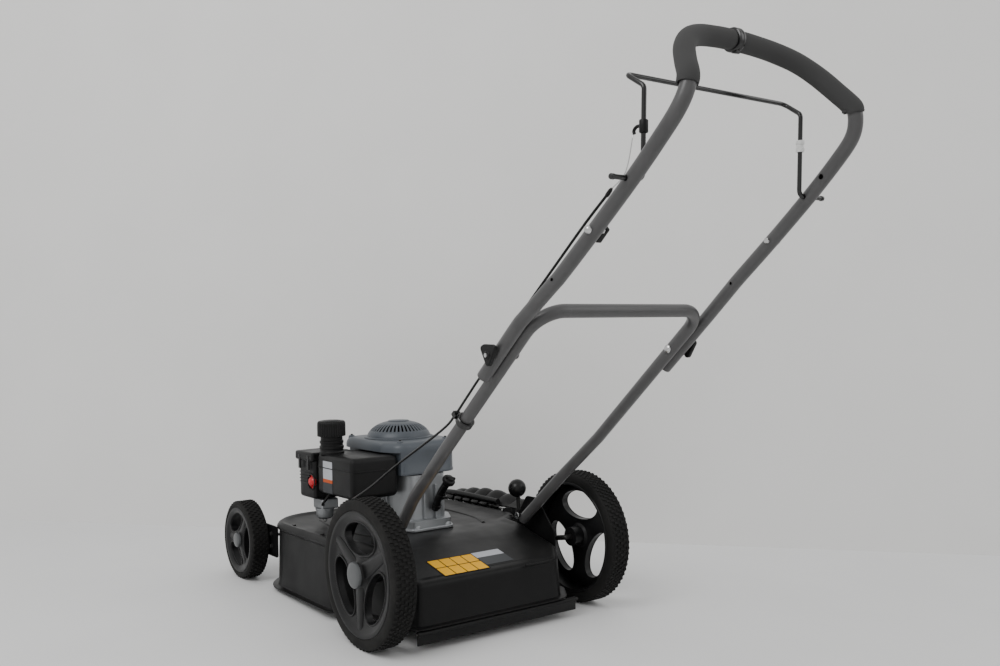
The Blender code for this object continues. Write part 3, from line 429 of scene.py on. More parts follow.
def build_dust(tree, given, result):
    """Pale dust that settles in patches on what faces up."""
    coords = tree.nodes.new("ShaderNodeTexCoord")
    split = tree.nodes.new("ShaderNodeSeparateXYZ")
    tree.links.new(coords.outputs["Normal"], split.inputs["Vector"])
    up = stretch(tree, split.outputs["Z"], 0.1, 1.0)
    patches = stretch(tree, noise(tree, coords.outputs["Object"], given.outputs["Scale"], 6.0, 0.7), 0.42, 0.75)
    both = math_node(tree, "MULTIPLY", up, patches)
    tree.links.new(math_node(tree, "MULTIPLY", both, given.outputs["Amount"]), result.inputs["Mask"])


def build_scuffs(tree, given, result):
    """Sparse fine marks, drawn out in one direction."""
    coords = tree.nodes.new("ShaderNodeTexCoord")
    mapping = tree.nodes.new("ShaderNodeMapping")
    mapping.inputs["Scale"].default_value = (1.0, 0.12, 0.5)
    mapping.inputs["Rotation"].default_value = (0.3, 0.5, 0.8)
    tree.links.new(coords.outputs["Object"], mapping.inputs["Vector"])
    marks = stretch(tree, noise(tree, mapping.outputs["Vector"], given.outputs["Scale"], 5.0, 0.7), 0.62, 0.72)
    tree.links.new(math_node(tree, "MULTIPLY", marks, given.outputs["Amount"]), result.inputs["Mask"])


def build_cells(tree, given, result):
    """The open pores of foam rubber."""
    place = tree.nodes.new("ShaderNodeTexCoord").outputs["Object"]
    cells = tree.nodes.new("ShaderNodeTexVoronoi")
    tree.links.new(place, cells.inputs["Vector"])
    tree.links.new(given.outputs["Scale"], cells.inputs["Scale"])
    tree.links.new(stretch(tree, cells.outputs["Distance"], 0.0, 0.6), result.inputs["Height"])
    half = math_node(tree, "MULTIPLY", given.outputs["Scale"], 0.05)
    tree.links.new(stretch(tree, noise(tree, place, half, 3.0), 0.3, 0.7), result.inputs["Drift"])


def grain_group():
    return group("Surface grain", [("Scale", 900.0)], ["Height", "Drift"], build_grain)


def dust_group():
    return group("Settled dust", [("Scale", 30.0), ("Amount", 0.3)], ["Mask"], build_dust)


def scuff_group():
    return group("Fine scuffs", [("Scale", 60.0), ("Amount", 0.3)], ["Mask"], build_scuffs)


def cells_group():
    return group("Foam cells", [("Scale", 1400.0)], ["Height", "Drift"], build_cells)


DUST_COLOUR = (0.22, 0.21, 0.19)

# name: colour, metallic, roughness, grain scale, bump depth, drift, dust, scuffs, coat, specular level
FINISHES = {
    "deck paint": ((0.0052, 0.0052, 0.0054), 0.0, 0.40, 700.0, 0.05, 0.15, 0.03, 0.10, 0.0, 0.16),
    "tube paint": ((0.0640, 0.0630, 0.0640), 0.10, 0.36, 1500.0, 0.06, 0.08, 0.03, 0.15, 0.10, 0.40),
    "foam": ((0.0190, 0.0190, 0.0205), 0.0, 0.60, 1500.0, 0.12, 0.12, 0.02, 0.0, 0.0, 0.40),
    "black plastic": ((0.0060, 0.0060, 0.0062), 0.0, 0.42, 1100.0, 0.10, 0.12, 0.03, 0.10, 0.0, 0.20),
    "smooth black": ((0.0045, 0.0045, 0.0046), 0.0, 0.28, 900.0, 0.03, 0.10, 0.02, 0.10, 0.0, 0.28),
    "gloss black": ((0.0040, 0.0040, 0.0042), 0.0, 0.18, 500.0, 0.015, 0.10, 0.01, 0.10, 0.2, 0.45),
    "tyre rubber": ((0.0110, 0.0108, 0.0105), 0.0, 0.70, 700.0, 0.16, 0.18, 0.05, 0.0, 0.0, 0.14),
    "wheel plastic": ((0.0060, 0.0060, 0.0064), 0.0, 0.34, 1000.0, 0.06, 0.12, 0.02, 0.12, 0.0, 0.26),
    "hub cap": ((0.0750, 0.0790, 0.0820), 0.2, 0.32, 900.0, 0.03, 0.06, 0.04, 0.15, 0.1, 0.50),
    "shroud plastic": ((0.0600, 0.0700, 0.0830), 0.05, 0.42, 900.0, 0.08, 0.08, 0.06, 0.10, 0.0, 0.45),
    "cast aluminium": ((0.300, 0.310, 0.320), 0.85, 0.42, 420.0, 0.40, 0.28, 0.08, 0.15, 0.0, 0.50),
    "bright steel": ((0.560, 0.560, 0.560), 1.0, 0.26, 600.0, 0.04, 0.10, 0.02, 0.25, 0.0, 0.50),
    "dark steel": ((0.0320, 0.0315, 0.0310), 0.7, 0.44, 500.0, 0.10, 0.25, 0.03, 0.25, 0.0, 0.40),
    "ground steel": ((0.180, 0.180, 0.185), 1.0, 0.36, 500.0, 0.06, 0.20, 0.0, 0.35, 0.0, 0.50),
    "rust brown": ((0.060, 0.045, 0.036), 0.5, 0.62, 300.0, 0.22, 0.45, 0.06, 0.10, 0.0, 0.30),
    "white plastic": ((0.640, 0.640, 0.630), 0.0, 0.42, 900.0, 0.03, 0.04, 0.02, 0.05, 0.0, 0.50),
    "red rubber": ((0.520, 0.008, 0.014), 0.0, 0.34, 700.0, 0.04, 0.08, 0.01, 0.05, 0.0, 0.50),
    "label yellow": ((0.780, 0.400, 0.004), 0.0, 0.45, 300.0, 0.02, 0.06, 0.0, 0.03, 0.0, 0.15),
    "label white": ((0.400, 0.410, 0.440), 0.0, 0.45, 300.0, 0.02, 0.10, 0.02, 0.08, 0.0, 0.20),
    "label grey": ((0.030, 0.033, 0.037), 0.0, 0.40, 300.0, 0.02, 0.10, 0.02, 0.08, 0.0, 0.20),
    "label orange": ((0.460, 0.070, 0.008), 0.0, 0.45, 300.0, 0.02, 0.06, 0.0, 0.03, 0.0, 0.20),
    "label ink": ((0.014, 0.011, 0.006), 0.0, 0.50, 300.0, 0.02, 0.10, 0.0, 0.0, 0.0, 0.10),
    # Near-black: painted shade seen through openings, not a real surface.
    "painted shade behind slots": ((0.0025, 0.0025, 0.0025), 0.0, 0.85, 600.0, 0.05, 0.10, 0.0, 0.0, 0.0, 0.10),
}


def finish(name):
    """The named finish as a material: base colour with drift, dust and scuffs over a fine grain."""
    if name in bpy.data.materials:
        return bpy.data.materials[name]
    colour, metallic, roughness, scale, depth, drift, dust, scuffs, coat, shine = FINISHES[name]
    material = bpy.data.materials.new(name)
    material.use_nodes = True
    tree = material.node_tree
    shader = tree.nodes["Principled BSDF"]
    shader.inputs["Metallic"].default_value = metallic
    shader.inputs["Coat Weight"].default_value = coat
    shader.inputs["Specular IOR Level"].default_value = shine
    shader.inputs["Coat Roughness"].default_value = 0.2
    if name == "foam":
        shader.inputs["Sheen Weight"].default_value = 0.10
    texture = tree.nodes.new("ShaderNodeGroup")
    texture.node_tree = cells_group() if name == "foam" else grain_group()
    texture.inputs["Scale"].default_value = scale

    def mask(node_group, mask_scale, amount):
        node = tree.nodes.new("ShaderNodeGroup")
        node.node_tree = node_group
        node.inputs["Scale"].default_value = mask_scale
        node.inputs["Amount"].default_value = amount
        return node.outputs["Mask"]

    def mix(first, second, factor):
        node = tree.nodes.new("ShaderNodeMix")
        node.data_type = "RGBA"
        tree.links.new(factor, node.inputs["Factor"])
        for socket, value in ((node.inputs[6], first), (node.inputs[7], second)):
            if isinstance(value, tuple):
                socket.default_value = (*value, 1.0)
            else:
                tree.links.new(value, socket)
        return node.outputs[2]

    deep = tuple(c * (1.0 - drift) for c in colour)
    pale = tuple(min(c * (1.0 + drift) + 0.0008, 1.0) for c in colour)
    base = mix(deep, pale, texture.outputs["Drift"])
    marks = mask(scuff_group(), 70.0, scuffs)
    base = mix(base, tuple(min(c * 1.8 + 0.02, 1.0) for c in colour), marks)
    base = mix(base, DUST_COLOUR, mask(dust_group(), 34.0, dust))
    tree.links.new(base, shader.inputs["Base Color"])
    spread = stretch(tree, texture.outputs["Drift"], 0.0, 1.0)
    tree.nodes[-1].inputs["To Min"].default_value = roughness - 0.05
    tree.nodes[-1].inputs["To Max"].default_value = roughness + 0.07
    tree.links.new(spread, shader.inputs["Roughness"])
    bump = tree.nodes.new("ShaderNodeBump")
    bump.inputs["Strength"].default_value = min(depth * 2.0, 1.0)
    bump.inputs["Distance"].default_value = 0.0004
    tree.links.new(texture.outputs["Height"], bump.inputs["Height"])
    tree.links.new(bump.outputs["Normal"], shader.inputs["Normal"])
    return material


# ---------------------------------------------------------------- settings a user would change

class MowerWheelSettings(bpy.types.PropertyGroup):
    """Sizes of the tyres and their tread"""
    rear_radius: bpy.props.FloatProperty(name="Rear radius", description="Radius of the rear tyres",
                                         default=0.1524, unit="LENGTH")
    front_radius: bpy.props.FloatProperty(name="Front radius", description="Radius of the front tyres",
                                          default=0.098, unit="LENGTH")
    rear_lugs: bpy.props.IntProperty(name="Rear lugs", description="Lugs round a rear tyre", default=72, min=20)
    front_lugs: bpy.props.IntProperty(name="Front lugs", description="Lugs round a front tyre", default=48, min=16)
    lug_height: bpy.props.FloatProperty(name="Lug height", description="Depth of the tread", default=0.0028,
                                        unit="LENGTH")


class MowerHandleSettings(bpy.types.PropertyGroup):
    """Sizes of the handle tubes and the foam"""
    foam_radius: bpy.props.FloatProperty(name="Foam radius", description="Outer radius of the foam grips",
                                         default=0.0168, unit="LENGTH")
    tube_wall: bpy.props.FloatProperty(name="Tube wall", description="Wall of the handle tubes",
                                       default=0.0014, unit="LENGTH")


class MowerEngineSettings(bpy.types.PropertyGroup):
    """Counts of the slots and ribs on the engine"""
    cover_slots: bpy.props.IntProperty(name="Cover slots", description="Cooling slots round the recoil cover",
                                       default=44, min=12)
    cap_ribs: bpy.props.IntProperty(name="Cap ribs", description="Ribs round the fuel cap", default=36, min=8)


class MowerDeckSettings(bpy.types.PropertyGroup):
    """The deck's sheet and its discharge flap"""
    sheet: bpy.props.FloatProperty(name="Sheet", description="Thickness of the deck's steel", default=0.002,
                                   unit="LENGTH")
    lobes: bpy.props.IntProperty(name="Flap lobes", description="Rounded lobes along the discharge flap",
                                 default=6, min=2)


class MowerStageSettings(bpy.types.PropertyGroup):
    """The room's colours and the camera's lens"""
    floor_colour: bpy.props.FloatVectorProperty(name="Floor colour", description="Colour of the floor",
                                                default=(0.74, 0.74, 0.74), size=3, subtype="COLOR")
    wall_colour: bpy.props.FloatVectorProperty(name="Background", description="Colour behind the mower",
                                               default=(0.78, 0.775, 0.765), size=3, subtype="COLOR")
    lens: bpy.props.FloatProperty(name="Lens", description="Focal length in millimetres", default=35.73)


# ---------------------------------------------------------------- wheels

def tread_rows(half):
    """Points across the tread: how far along the axle, how far below the lug tops, and the row's kind."""
    rows = []
    count = 5
    pitch = 2 * (half - 0.003) / count
    for row in range(count):
        start = -half + 0.003 + row * pitch
        kind = "AB"[row % 2]
        rows += [(start + 0.0006, 1.0, None), (start + 0.0012, 0.0, kind), (start + pitch - 0.0012, 0.0, kind),
                 (start + pitch - 0.0006, 1.0, None)]
    return rows


def tyre_mesh(name, radius, width, lugs, lug_height, matrix):
    """A tyre whose rubber blocks stand in staggered rows, with rounded sidewalls."""
    half = width / 2
    seat = radius * 0.84
    floor = radius - lug_height
    wall = [(-half + 0.001, seat), (-half, seat + 0.003), (-half - 0.0006, (seat + floor) / 2),
            (-half + 0.0004, floor - 0.004), (-half + 0.0022, floor - 0.0008)]
    section = [(x, r, None) for x, r in wall]
    section += [(x, floor if low else radius, kind) for x, low, kind in tread_rows(half)]
    section += [(-x, r, None) for x, r in reversed(wall)]
    fractions = [(0.0, ""), (0.07, "A"), (0.43, "A"), (0.50, ""), (0.57, "B"), (0.93, "B")]
    bm = bmesh.new()
    loops = []
    for lug in range(lugs):
        for fraction, raised in fractions:
            angle = math.tau * (lug + fraction) / lugs
            loop = []
            for x, r, kind in section:
                height = floor if kind and kind != raised else r
                loop.append(bm.verts.new((height * math.cos(angle), height * math.sin(angle), x)))
            loops.append(loop)
    total = len(loops)
    for index in range(total):
        near, far = loops[index], loops[(index + 1) % total]
        for i in range(len(section)):
            j = (i + 1) % len(section)
            bm.faces.new((near[i], far[i], far[j], near[j]))
    bmesh.ops.recalc_face_normals(bm, faces=bm.faces)
    return from_bmesh(name, bm, matrix)


def oval(long_radius, short_radius, centre_radius, angle, count=40):
    points = []
    for i in range(count):
        a = math.tau * i / count
        x, y = centre_radius + short_radius * math.cos(a), long_radius * math.sin(a)
        points.append((x * math.cos(angle) - y * math.sin(angle), x * math.sin(angle) + y * math.cos(angle)))
    return points


def rim_mesh(name, radius, width, cap_height, window, turn, matrix):
    """A moulded wheel: dished face, three oval windows and a long hub."""
    half = width / 2
    seat, face, hub = radius * 0.84 - 0.0004, half - 0.006, radius * 0.15
    band = seat - 0.0055
    hub_back = -half + 0.002
    profile = [(0.0067, half + cap_height - 0.002), (hub * 0.86, half + cap_height - 0.002),
               (hub * 0.95, half + cap_height - 0.004), (hub + 0.002, face + 0.004), (hub + 0.006, face + 0.001),
               (hub + 0.014, face - 0.001), (band - 0.020, face - 0.001), (band - 0.012, face + 0.001),
               (band - 0.004, half - 0.001), (band, half + 0.0004), (seat - 0.001, half), (seat, half - 0.001),
               (seat, -half + 0.001), (seat - 0.001, -half), (band, -half), (band - 0.001, face - 0.013),
               (band - 0.006, face - 0.016), (hub + 0.006, face - 0.016), (hub, face - 0.020), (hub - 0.001, hub_back),
               (0.0067, hub_back)]
    rim = turned(name, profile, matrix, steps=96, closed=True)
    cutters = []
    long_radius, short_radius, centre_radius = window
    for index in range(3):
        outline = oval(long_radius, short_radius, centre_radius, turn + index * math.tau / 3)
        cutters.append(prism(f"{name}_window_{index}", outline, -half * 1.5, half * 1.5, matrix))
    return cut(rim, cutters)


def build_wheels(settings):
    """Four wheels: treaded tyre, moulded wheel with rolled window lips and spoke ridges, and hub cap."""
    for side, sign in sides():
        for end, x, centre, radius, width, lugs, cap, window, turn in (
                ("rear", REAR_WHEEL_X, REAR_AXLE, settings.rear_radius, 0.052, settings.rear_lugs, 0.012,
                 (0.062, 0.033, 0.072), 0.0),
                ("front", FRONT_WHEEL_X, FRONT_AXLE, settings.front_radius, 0.046, settings.front_lugs, 0.006,
                 (0.040, 0.021, 0.047), math.pi / 2)):
            tag = f"{end}_{side}"
            body = f"wheel_{tag}"
            centre = centre + Vector((sign * x, 0, 0))
            # Local Z points outwards and local X points down on the right and up on the left.
            place = Matrix.Translation(centre) @ Matrix.Rotation(sign * math.pi / 2, 4, "Y")
            start = (math.pi if sign > 0 else 0.0) + sign * turn
            tyre = tyre_mesh(f"treaded_tyre_{tag}", radius, width, lugs, settings.lug_height, place)
            finish_piece(tyre, "tyre rubber", body, (f"tyre_{tag}",), 40.0)
            rim = rim_mesh(f"moulded_wheel_{tag}", radius, width, cap, window, start, place)
            bevelled(rim, 0.0012, 2, 50.0)
            finish_piece(rim, "wheel plastic", body, (f"rim_{tag}",), 32.0)
            long_radius, short_radius, centre_radius = window
            face = width / 2 - 0.0065
            for index in range(3):
                angle = start + index * math.tau / 3
                rolled = [(px, py, face) for px, py in oval(long_radius + 0.0012, short_radius + 0.0012, centre_radius,
                                                            angle, 64)]
                lip = ring_pipe(f"window_lip_{tag}_{index}", rolled, 0.0022, place)
                finish_piece(lip, "wheel plastic", body)
                spoke = angle + math.pi / 3
                hub = radius * 0.15
                ridge_line = flow([(r * math.cos(spoke), r * math.sin(spoke), 0.0) for r in
                                   (hub * 0.7, hub + 0.010, radius * 0.42, radius * 0.58, radius * 0.74)], 6)
                widths = [1.0 - 0.45 * step / (len(ridge_line) - 1) for step in range(len(ridge_line))]
                flat = place @ Matrix.Translation((0, 0, face - 0.0005)) @ Matrix.Scale(0.32, 4, (0, 0, 1))
                ridge = pipe(f"spoke_web_{tag}_{index}", ridge_line, radius * 0.125, 8, True, flat, widths)
                finish_piece(ridge, "wheel plastic", body, smooth_angle=50.0)
            top = width / 2 + cap
            crown = radius * 0.175 if end == "rear" else radius * 0.19
            dome = [(0, top), (crown * 0.55, top - 0.0003), (crown * 0.86, top - 0.0012), (crown * 0.97, top - 0.0028),
                    (crown, top - 0.005), (crown * 1.02, top - 0.0075), (crown * 0.9, top - 0.0080), (0, top - 0.0080)]
            if end == "front":
                dome = [(r, h + 0.0005) for r, h in dome]
            cap_piece = turned(f"hub_cap_{tag}", dome, place, 64)
            finish_piece(cap_piece, "hub cap", body)


# ---------------------------------------------------------------- deck

SLOPE_START_Y, SLOPE_END_Y, BEAD_START_Y, SLOPE = -0.090, 0.098, 0.060, 0.234
REAR_SKIRT_Z, SIDE_SKIRT_Z = -0.105, -0.125
HINGE_X, HINGE_Z = 0.2655, 0.0310
DECK_OUTLINE = [(0.150, SLOPE_START_Y, 0.035), (0.197, -0.025, 0.05), (0.197, BEAD_START_Y, 0),
                (0.197, SLOPE_END_Y, 0), (0.197, 0.168, 0.03), (0.255, 0.212, 0.03), (0.255, 0.592, 0.125),
                (-0.259, 0.592, 0.125), (-0.259, 0.212, 0.03), (-0.222, 0.168, 0.03),
                (-0.222, SLOPE_END_Y, 0), (-0.222, BEAD_START_Y, 0), (-0.222, SLOPE_START_Y, 0.018)]


def clamp(value, low=0.0, high=1.0):
    return max(low, min(high, value))


def top_height(y):
    return min(TOP_Z, TOP_Z - (SLOPE_END_Y - y) * SLOPE)


def skirt_height(y):
    return REAR_SKIRT_Z + (SIDE_SKIRT_Z - REAR_SKIRT_Z) * clamp((y + 0.02) / 0.2)


def bead(y):
    return clamp((y - BEAD_START_Y) / 0.08)


def deck_levels():
    """From the flange's lip up to the flat top: how far in from the outline, and how high."""
    return [(lambda y: -0.0140, lambda y: skirt_height(y) - 0.0020),
            (lambda y: -0.0146, lambda y: skirt_height(y)),
            (lambda y: -0.0135, lambda y: skirt_height(y) + 0.0008),
            (lambda y: -0.0040, lambda y: skirt_height(y) + 0.0008),
            (lambda y: -0.0010, lambda y: skirt_height(y) + 0.0022),
            (lambda y: 0.0004, lambda y: skirt_height(y) + 0.0060),
            (lambda y: 0.0022, lambda y: (skirt_height(y) + top_height(y)) / 2),
            (lambda y: 0.0040, lambda y: top_height(y) - 0.0150),
            (lambda y: 0.0040 - 0.0052 * bead(y), lambda y: top_height(y) - 0.0115 + 0.0020 * bead(y)),
            (lambda y: 0.0046 - 0.0066 * bead(y), lambda y: top_height(y) - 0.0080 + 0.0035 * bead(y)),
            (lambda y: 0.0060 - 0.0040 * bead(y), lambda y: top_height(y) - 0.0045 + 0.0060 * bead(y)),
            (lambda y: 0.0085, lambda y: top_height(y) - 0.0020 + 0.0072 * bead(y)),
            (lambda y: 0.0120 + 0.0020 * bead(y), lambda y: top_height(y) - 0.0006 + 0.0058 * bead(y)),
            (lambda y: 0.0165 + 0.0035 * bead(y), lambda y: top_height(y) - 0.0001 + 0.0025 * bead(y)),
            (lambda y: 0.0280, top_height)]


def build_deck(settings):
    """The pressed deck shell, its ribs, its folded rear corner and its bolts."""
    corners = fillet_closed(DECK_OUTLINE, 12)
    outline = []
    for index, point in enumerate(corners):
        ahead = corners[(index + 1) % len(corners)]
        pieces = max(1, int((ahead - point).length / 0.045))
        outline += [point.lerp(ahead, step / pieces) for step in range(pieces)]
    count = len(outline)
    bm = bmesh.new()
    loops = []
    for sideways, height in deck_levels():
        loop = []
        for index, point in enumerate(outline):
            along = (outline[(index + 1) % count] - outline[index - 1]).normalized()
            moved = point + Vector((-along.y, along.x)) * sideways(point.y)
            loop.append(bm.verts.new((moved.x, moved.y, height(moved.y))))
        loops.append(loop)
    join_loops(bm, loops)
    seam = [index for index, point in enumerate(outline) if abs(point.y - SLOPE_END_Y) < 0.0001]
    right_seam, left_seam = seam[0], seam[-1]
    top = loops[-1]
    bm.faces.new(top[right_seam:left_seam + 1])
    bm.faces.new([*top[left_seam:], *top[:right_seam + 1]])
    shell = bake(solid_wall(from_bmesh("deck_shell", bm, DECK), settings.sheet))
    shell = cut(shell, [cylinder("crank_opening", 0.045, 0.05, (0, CRANK_Y, TOP_Z), (0, 0, 1), 48, DECK),
                        cylinder("pivot_openings", 0.009, 0.50, (0, 0.075, -0.012), (1, 0, 0), 24, DECK),
                        box("discharge_opening", (0.12, 0.265, 0.125), (0.235, 0.3575, -0.0705), DECK)])
    finish_piece(shell, "deck paint", "chassis", ("deck",), 28.0)

    # Pressed stiffening ribs beside the engine and a pressed step in the rear right corner
    for name, line, radius in (
            ("deck_rib_left", [(-0.150, 0.190, 0), (-0.165, 0.260, 0), (-0.168, 0.380, 0), (-0.150, 0.480, 0)], 0.006),
            ("deck_rib_right", [(0.135, 0.180, 0), (0.160, 0.260, 0), (0.165, 0.400, 0), (0.140, 0.500, 0)], 0.006)):
        path = [(x, y, top_height(y) - radius * 0.55) for x, y, _ in flow(line, 6)]
        rib = pipe(name, path, radius, 6, True, DECK)
        finish_piece(rib, "deck paint")
    fold_line = [(0.052, -0.0925, -0.0200), (0.120, -0.0925, -0.0200), (0.139, -0.087, -0.0200)]
    fold = pipe("rear_corner_fold", bend(fold_line, 0.012, 6), 0.0024, 5, True, DECK)
    finish_piece(fold, "deck paint")
    bolt_places = [(-0.236, 0.30), (-0.236, 0.45), (0.232, 0.20), (-0.12, 0.545), (0.12, 0.545)]
    for index, (x, y) in enumerate(bolt_places):
        add_bolt(f"deck_bolt_{index}", DECK @ Vector((x, y, TOP_Z - 0.0002)), DECK_UP, 0.0055)


def add_bolt(name, location, direction, radius, body="chassis", finish_name="dark steel"):
    """A flanged hexagon bolt head with a slight crown."""
    flange = [(0, 0.0000), (radius * 1.35, 0.0), (radius * 1.35, radius * 0.15), (radius * 1.05, radius * 0.3),
              (radius * 0.98, radius * 0.3), (0, radius * 0.3)]
    place = axis_matrix(location, direction)
    base = turned(f"{name}_flange", flange, place, 32)
    finish_piece(base, finish_name, body)
    head = bevelled(prism(name, circle(radius, 6), radius * 0.2, radius * 0.95, place), radius * 0.14, 2)
    finish_piece(head, finish_name, body)


def build_labels():
    """Plain stickers: blank yellow panels with thin dividing lines, and blank white and grey fields."""
    lift = math.atan(SLOPE)

    def sticker(name, x0, x1, y0, y1, finish_name, above=0.0004, thick=0.0003):
        cx, cy = (x0 + x1) / 2, (y0 + y1) / 2
        cz = top_height(cy) + above
        obj = box(name, (x1 - x0, (y1 - y0) / math.cos(lift), thick), (cx, cy, cz), DECK, (lift, 0, 0))
        finish_piece(obj, finish_name, "chassis")

    sticker("safety_label_panel", -0.142, -0.028, -0.072, 0.001, "label yellow")
    width = 0.114 / 4
    for column in range(5):
        x = -0.142 + width * column
        sticker(f"label_line_{column}", x - 0.0009, x + 0.0009, -0.072, 0.001, "label ink", 0.0008, 0.0003)
    for row, y in enumerate((-0.072, -0.0355, 0.001)):
        sticker(f"label_bar_{row}", -0.142, -0.028, y - 0.0010, y + 0.0010, "label ink", 0.0008, 0.0003)
    sticker("plain_label_white", -0.027, 0.046, -0.022, 0.002, "label white")
    sticker("plain_label_grey", -0.027, 0.046, -0.058, -0.022, "label grey")

    # Tank side: a white field over an orange strip and a grey field
    side_x = -0.2004
    for name, y0, y1, z0, z1, finish_name in (
            ("tank_label_white", 0.313, 0.360, 0.146, 0.188, "label white"),
            ("tank_label_orange", 0.313, 0.360, 0.138, 0.146, "label orange"),
            ("tank_label_grey", 0.313, 0.360, 0.114, 0.138, "label grey")):
        plate = box(name, (0.0004, y1 - y0, z1 - z0), (side_x, (y0 + y1) / 2, (z0 + z1) / 2), DECK)
        finish_piece(plate, finish_name, "chassis")


def build_deflector(settings):
    """The lobed discharge flap, its hinge barrel, rod and spring."""
    section = [(0.002, 0.0060, 0.0), (0.007, 0.0105, 0.15), (0.013, 0.0180, 0.5), (0.020, 0.0265, 0.85),
               (0.028, 0.0325, 1.0), (0.037, 0.0345, 1.0), (0.047, 0.0325, 1.0), (0.057, 0.0275, 0.9),
               (0.068, 0.0160, 0.7), (0.080, -0.0040, 0.45), (0.092, -0.0310, 0.2), (0.102, -0.0580, 0.1),
               (0.108, -0.0820, 0.02), (0.111, -0.0960, 0.0), (0.1115, -0.1035, 0.0)]
    columns = 120
    bm = bmesh.new()
    rows = []
    for column in range(columns + 1):
        y = 0.200 + 0.355 * column / columns
        reach = clamp((y - 0.205) / 0.345)
        envelope = math.sin(math.pi * clamp(0.12 + 0.80 * reach)) ** 0.8
        lobes = abs(math.sin(math.pi * settings.lobes * reach)) ** 0.6
        crest = 0.20 + 0.46 * envelope + 0.34 * envelope * lobes
        rows.append([bm.verts.new((x, y - CRANK_Y, z - share * (1.0 - crest) * 0.040)) for x, z, share in section])
    for near, far in zip(rows, rows[1:]):
        for index in range(len(section) - 1):
            bm.faces.new((near[index], near[index + 1], far[index + 1], far[index]))
    place = deck_at(HINGE_X, CRANK_Y, HINGE_Z)
    flap = bake(solid_wall(from_bmesh("lobed_deflector", bm, place), 0.003))
    finish_piece(flap, "black plastic", "deflector", ("discharge_deflector",), 40.0)
    lip_line = [(0.001, -0.046, 0.0130), (0.002, 0.060, 0.0140), (0.002, 0.150, 0.0140), (0.003, 0.195, 0.0110),
                (0.005, 0.206, 0.0070)]
    lip = pipe("flap_lip", flow(lip_line, 6), 0.0075, 6, True, place)
    finish_piece(lip, "black plastic", "deflector")
    for index in range(5):
        start, length = 0.340 + index * 0.040, 0.030
        sleeve = [(0.0037, 0), (0.0075, 0), (0.0078, 0.001), (0.0078, length - 0.001), (0.0075, length),
                  (0.0037, length)]
        knuckle = turned(f"hinge_knuckle_{index}", sleeve, DECK @ axis_matrix((HINGE_X, start, HINGE_Z), (0, 1, 0)),
                         32, True)
        finish_piece(knuckle, "smooth black", "deflector")
    inboard, foot = HINGE_X - 0.022, TOP_Z + 0.009
    rod_line = [(inboard, 0.250, foot), (inboard + 0.010, 0.250, HINGE_Z), (HINGE_X, 0.256, HINGE_Z),
                (HINGE_X, 0.566, HINGE_Z)]
    rod = pipe("deflector_hinge_rod", bend(rod_line, 0.004, 5), 0.003, 6, True, DECK)
    finish_piece(rod, "bright steel", "chassis", ("deflector_rod",))
    turns, coil_r = 9, 0.0049
    coil = [(HINGE_X + coil_r * math.cos(a), 0.293 + 0.038 * a / (math.tau * turns), HINGE_Z + coil_r * math.sin(a))
            for a in (math.tau * i / 16 for i in range(turns * 16 + 1))]
    spring = pipe("deflector_coil", coil, 0.0011, 4, True, DECK)
    finish_piece(spring, "dark steel", "chassis", ("deflector_spring",))
    for index, y in enumerate((0.246, 0.575)):
        ear = box(f"hinge_ear_{index}", (0.026, 0.003, 0.016), (HINGE_X - 0.009, y, HINGE_Z - 0.002), DECK)
        finish_piece(bevelled(ear, 0.001), "deck paint")


# ---------------------------------------------------------------- handle

GRIP_ARCH = [(0.211, -0.722, 0.940), (0.2085, -0.753, 0.975), (0.2025, -0.764, 1.003),
             (0.1965, -0.761, 1.025), (0.181, -0.741, 1.050), (0.160, -0.719, 1.077),
             (0.130, -0.700, 1.099), (0.090, -0.685, 1.113), (0.045, -0.679, 1.119), (0.0, -0.677, 1.121)]


def lean_point(distance, out=0.0):
    """A point on the handle's straight line, up from the fold bolt, and out over its front side."""
    y = FOLD_Y - distance * math.cos(TUBE_RISE) + out * math.sin(TUBE_RISE)
    z = FOLD_Z + distance * math.sin(TUBE_RISE) + out * math.cos(TUBE_RISE)
    return y, z


def upper_line():
    leg = [(FOOT_X, -0.060, 0.0), (FOOT_X, 0.070, 0.0), (0.2280, 0.100, -0.0010), (0.2200, 0.180, -0.0050),
           (0.2175, 0.210, -0.0065), (MID_LEG_X, 0.311, -0.0102), (0.2130, 0.4186, -0.0120)]
    half = [*((x, *lean_point(distance, out)) for x, distance, out in leg), *GRIP_ARCH]
    return [*half, *reversed(mirrored(half[:-1]))]


def tube_piece(name, points, wall, body, replaces, cutters):
    shell = pipe(name, points, TUBE_R, 10, False)
    shell = bake(solid_wall(shell, wall))
    shell = cut(shell, cutters)
    return finish_piece(shell, "tube paint", body, replaces, 40.0)


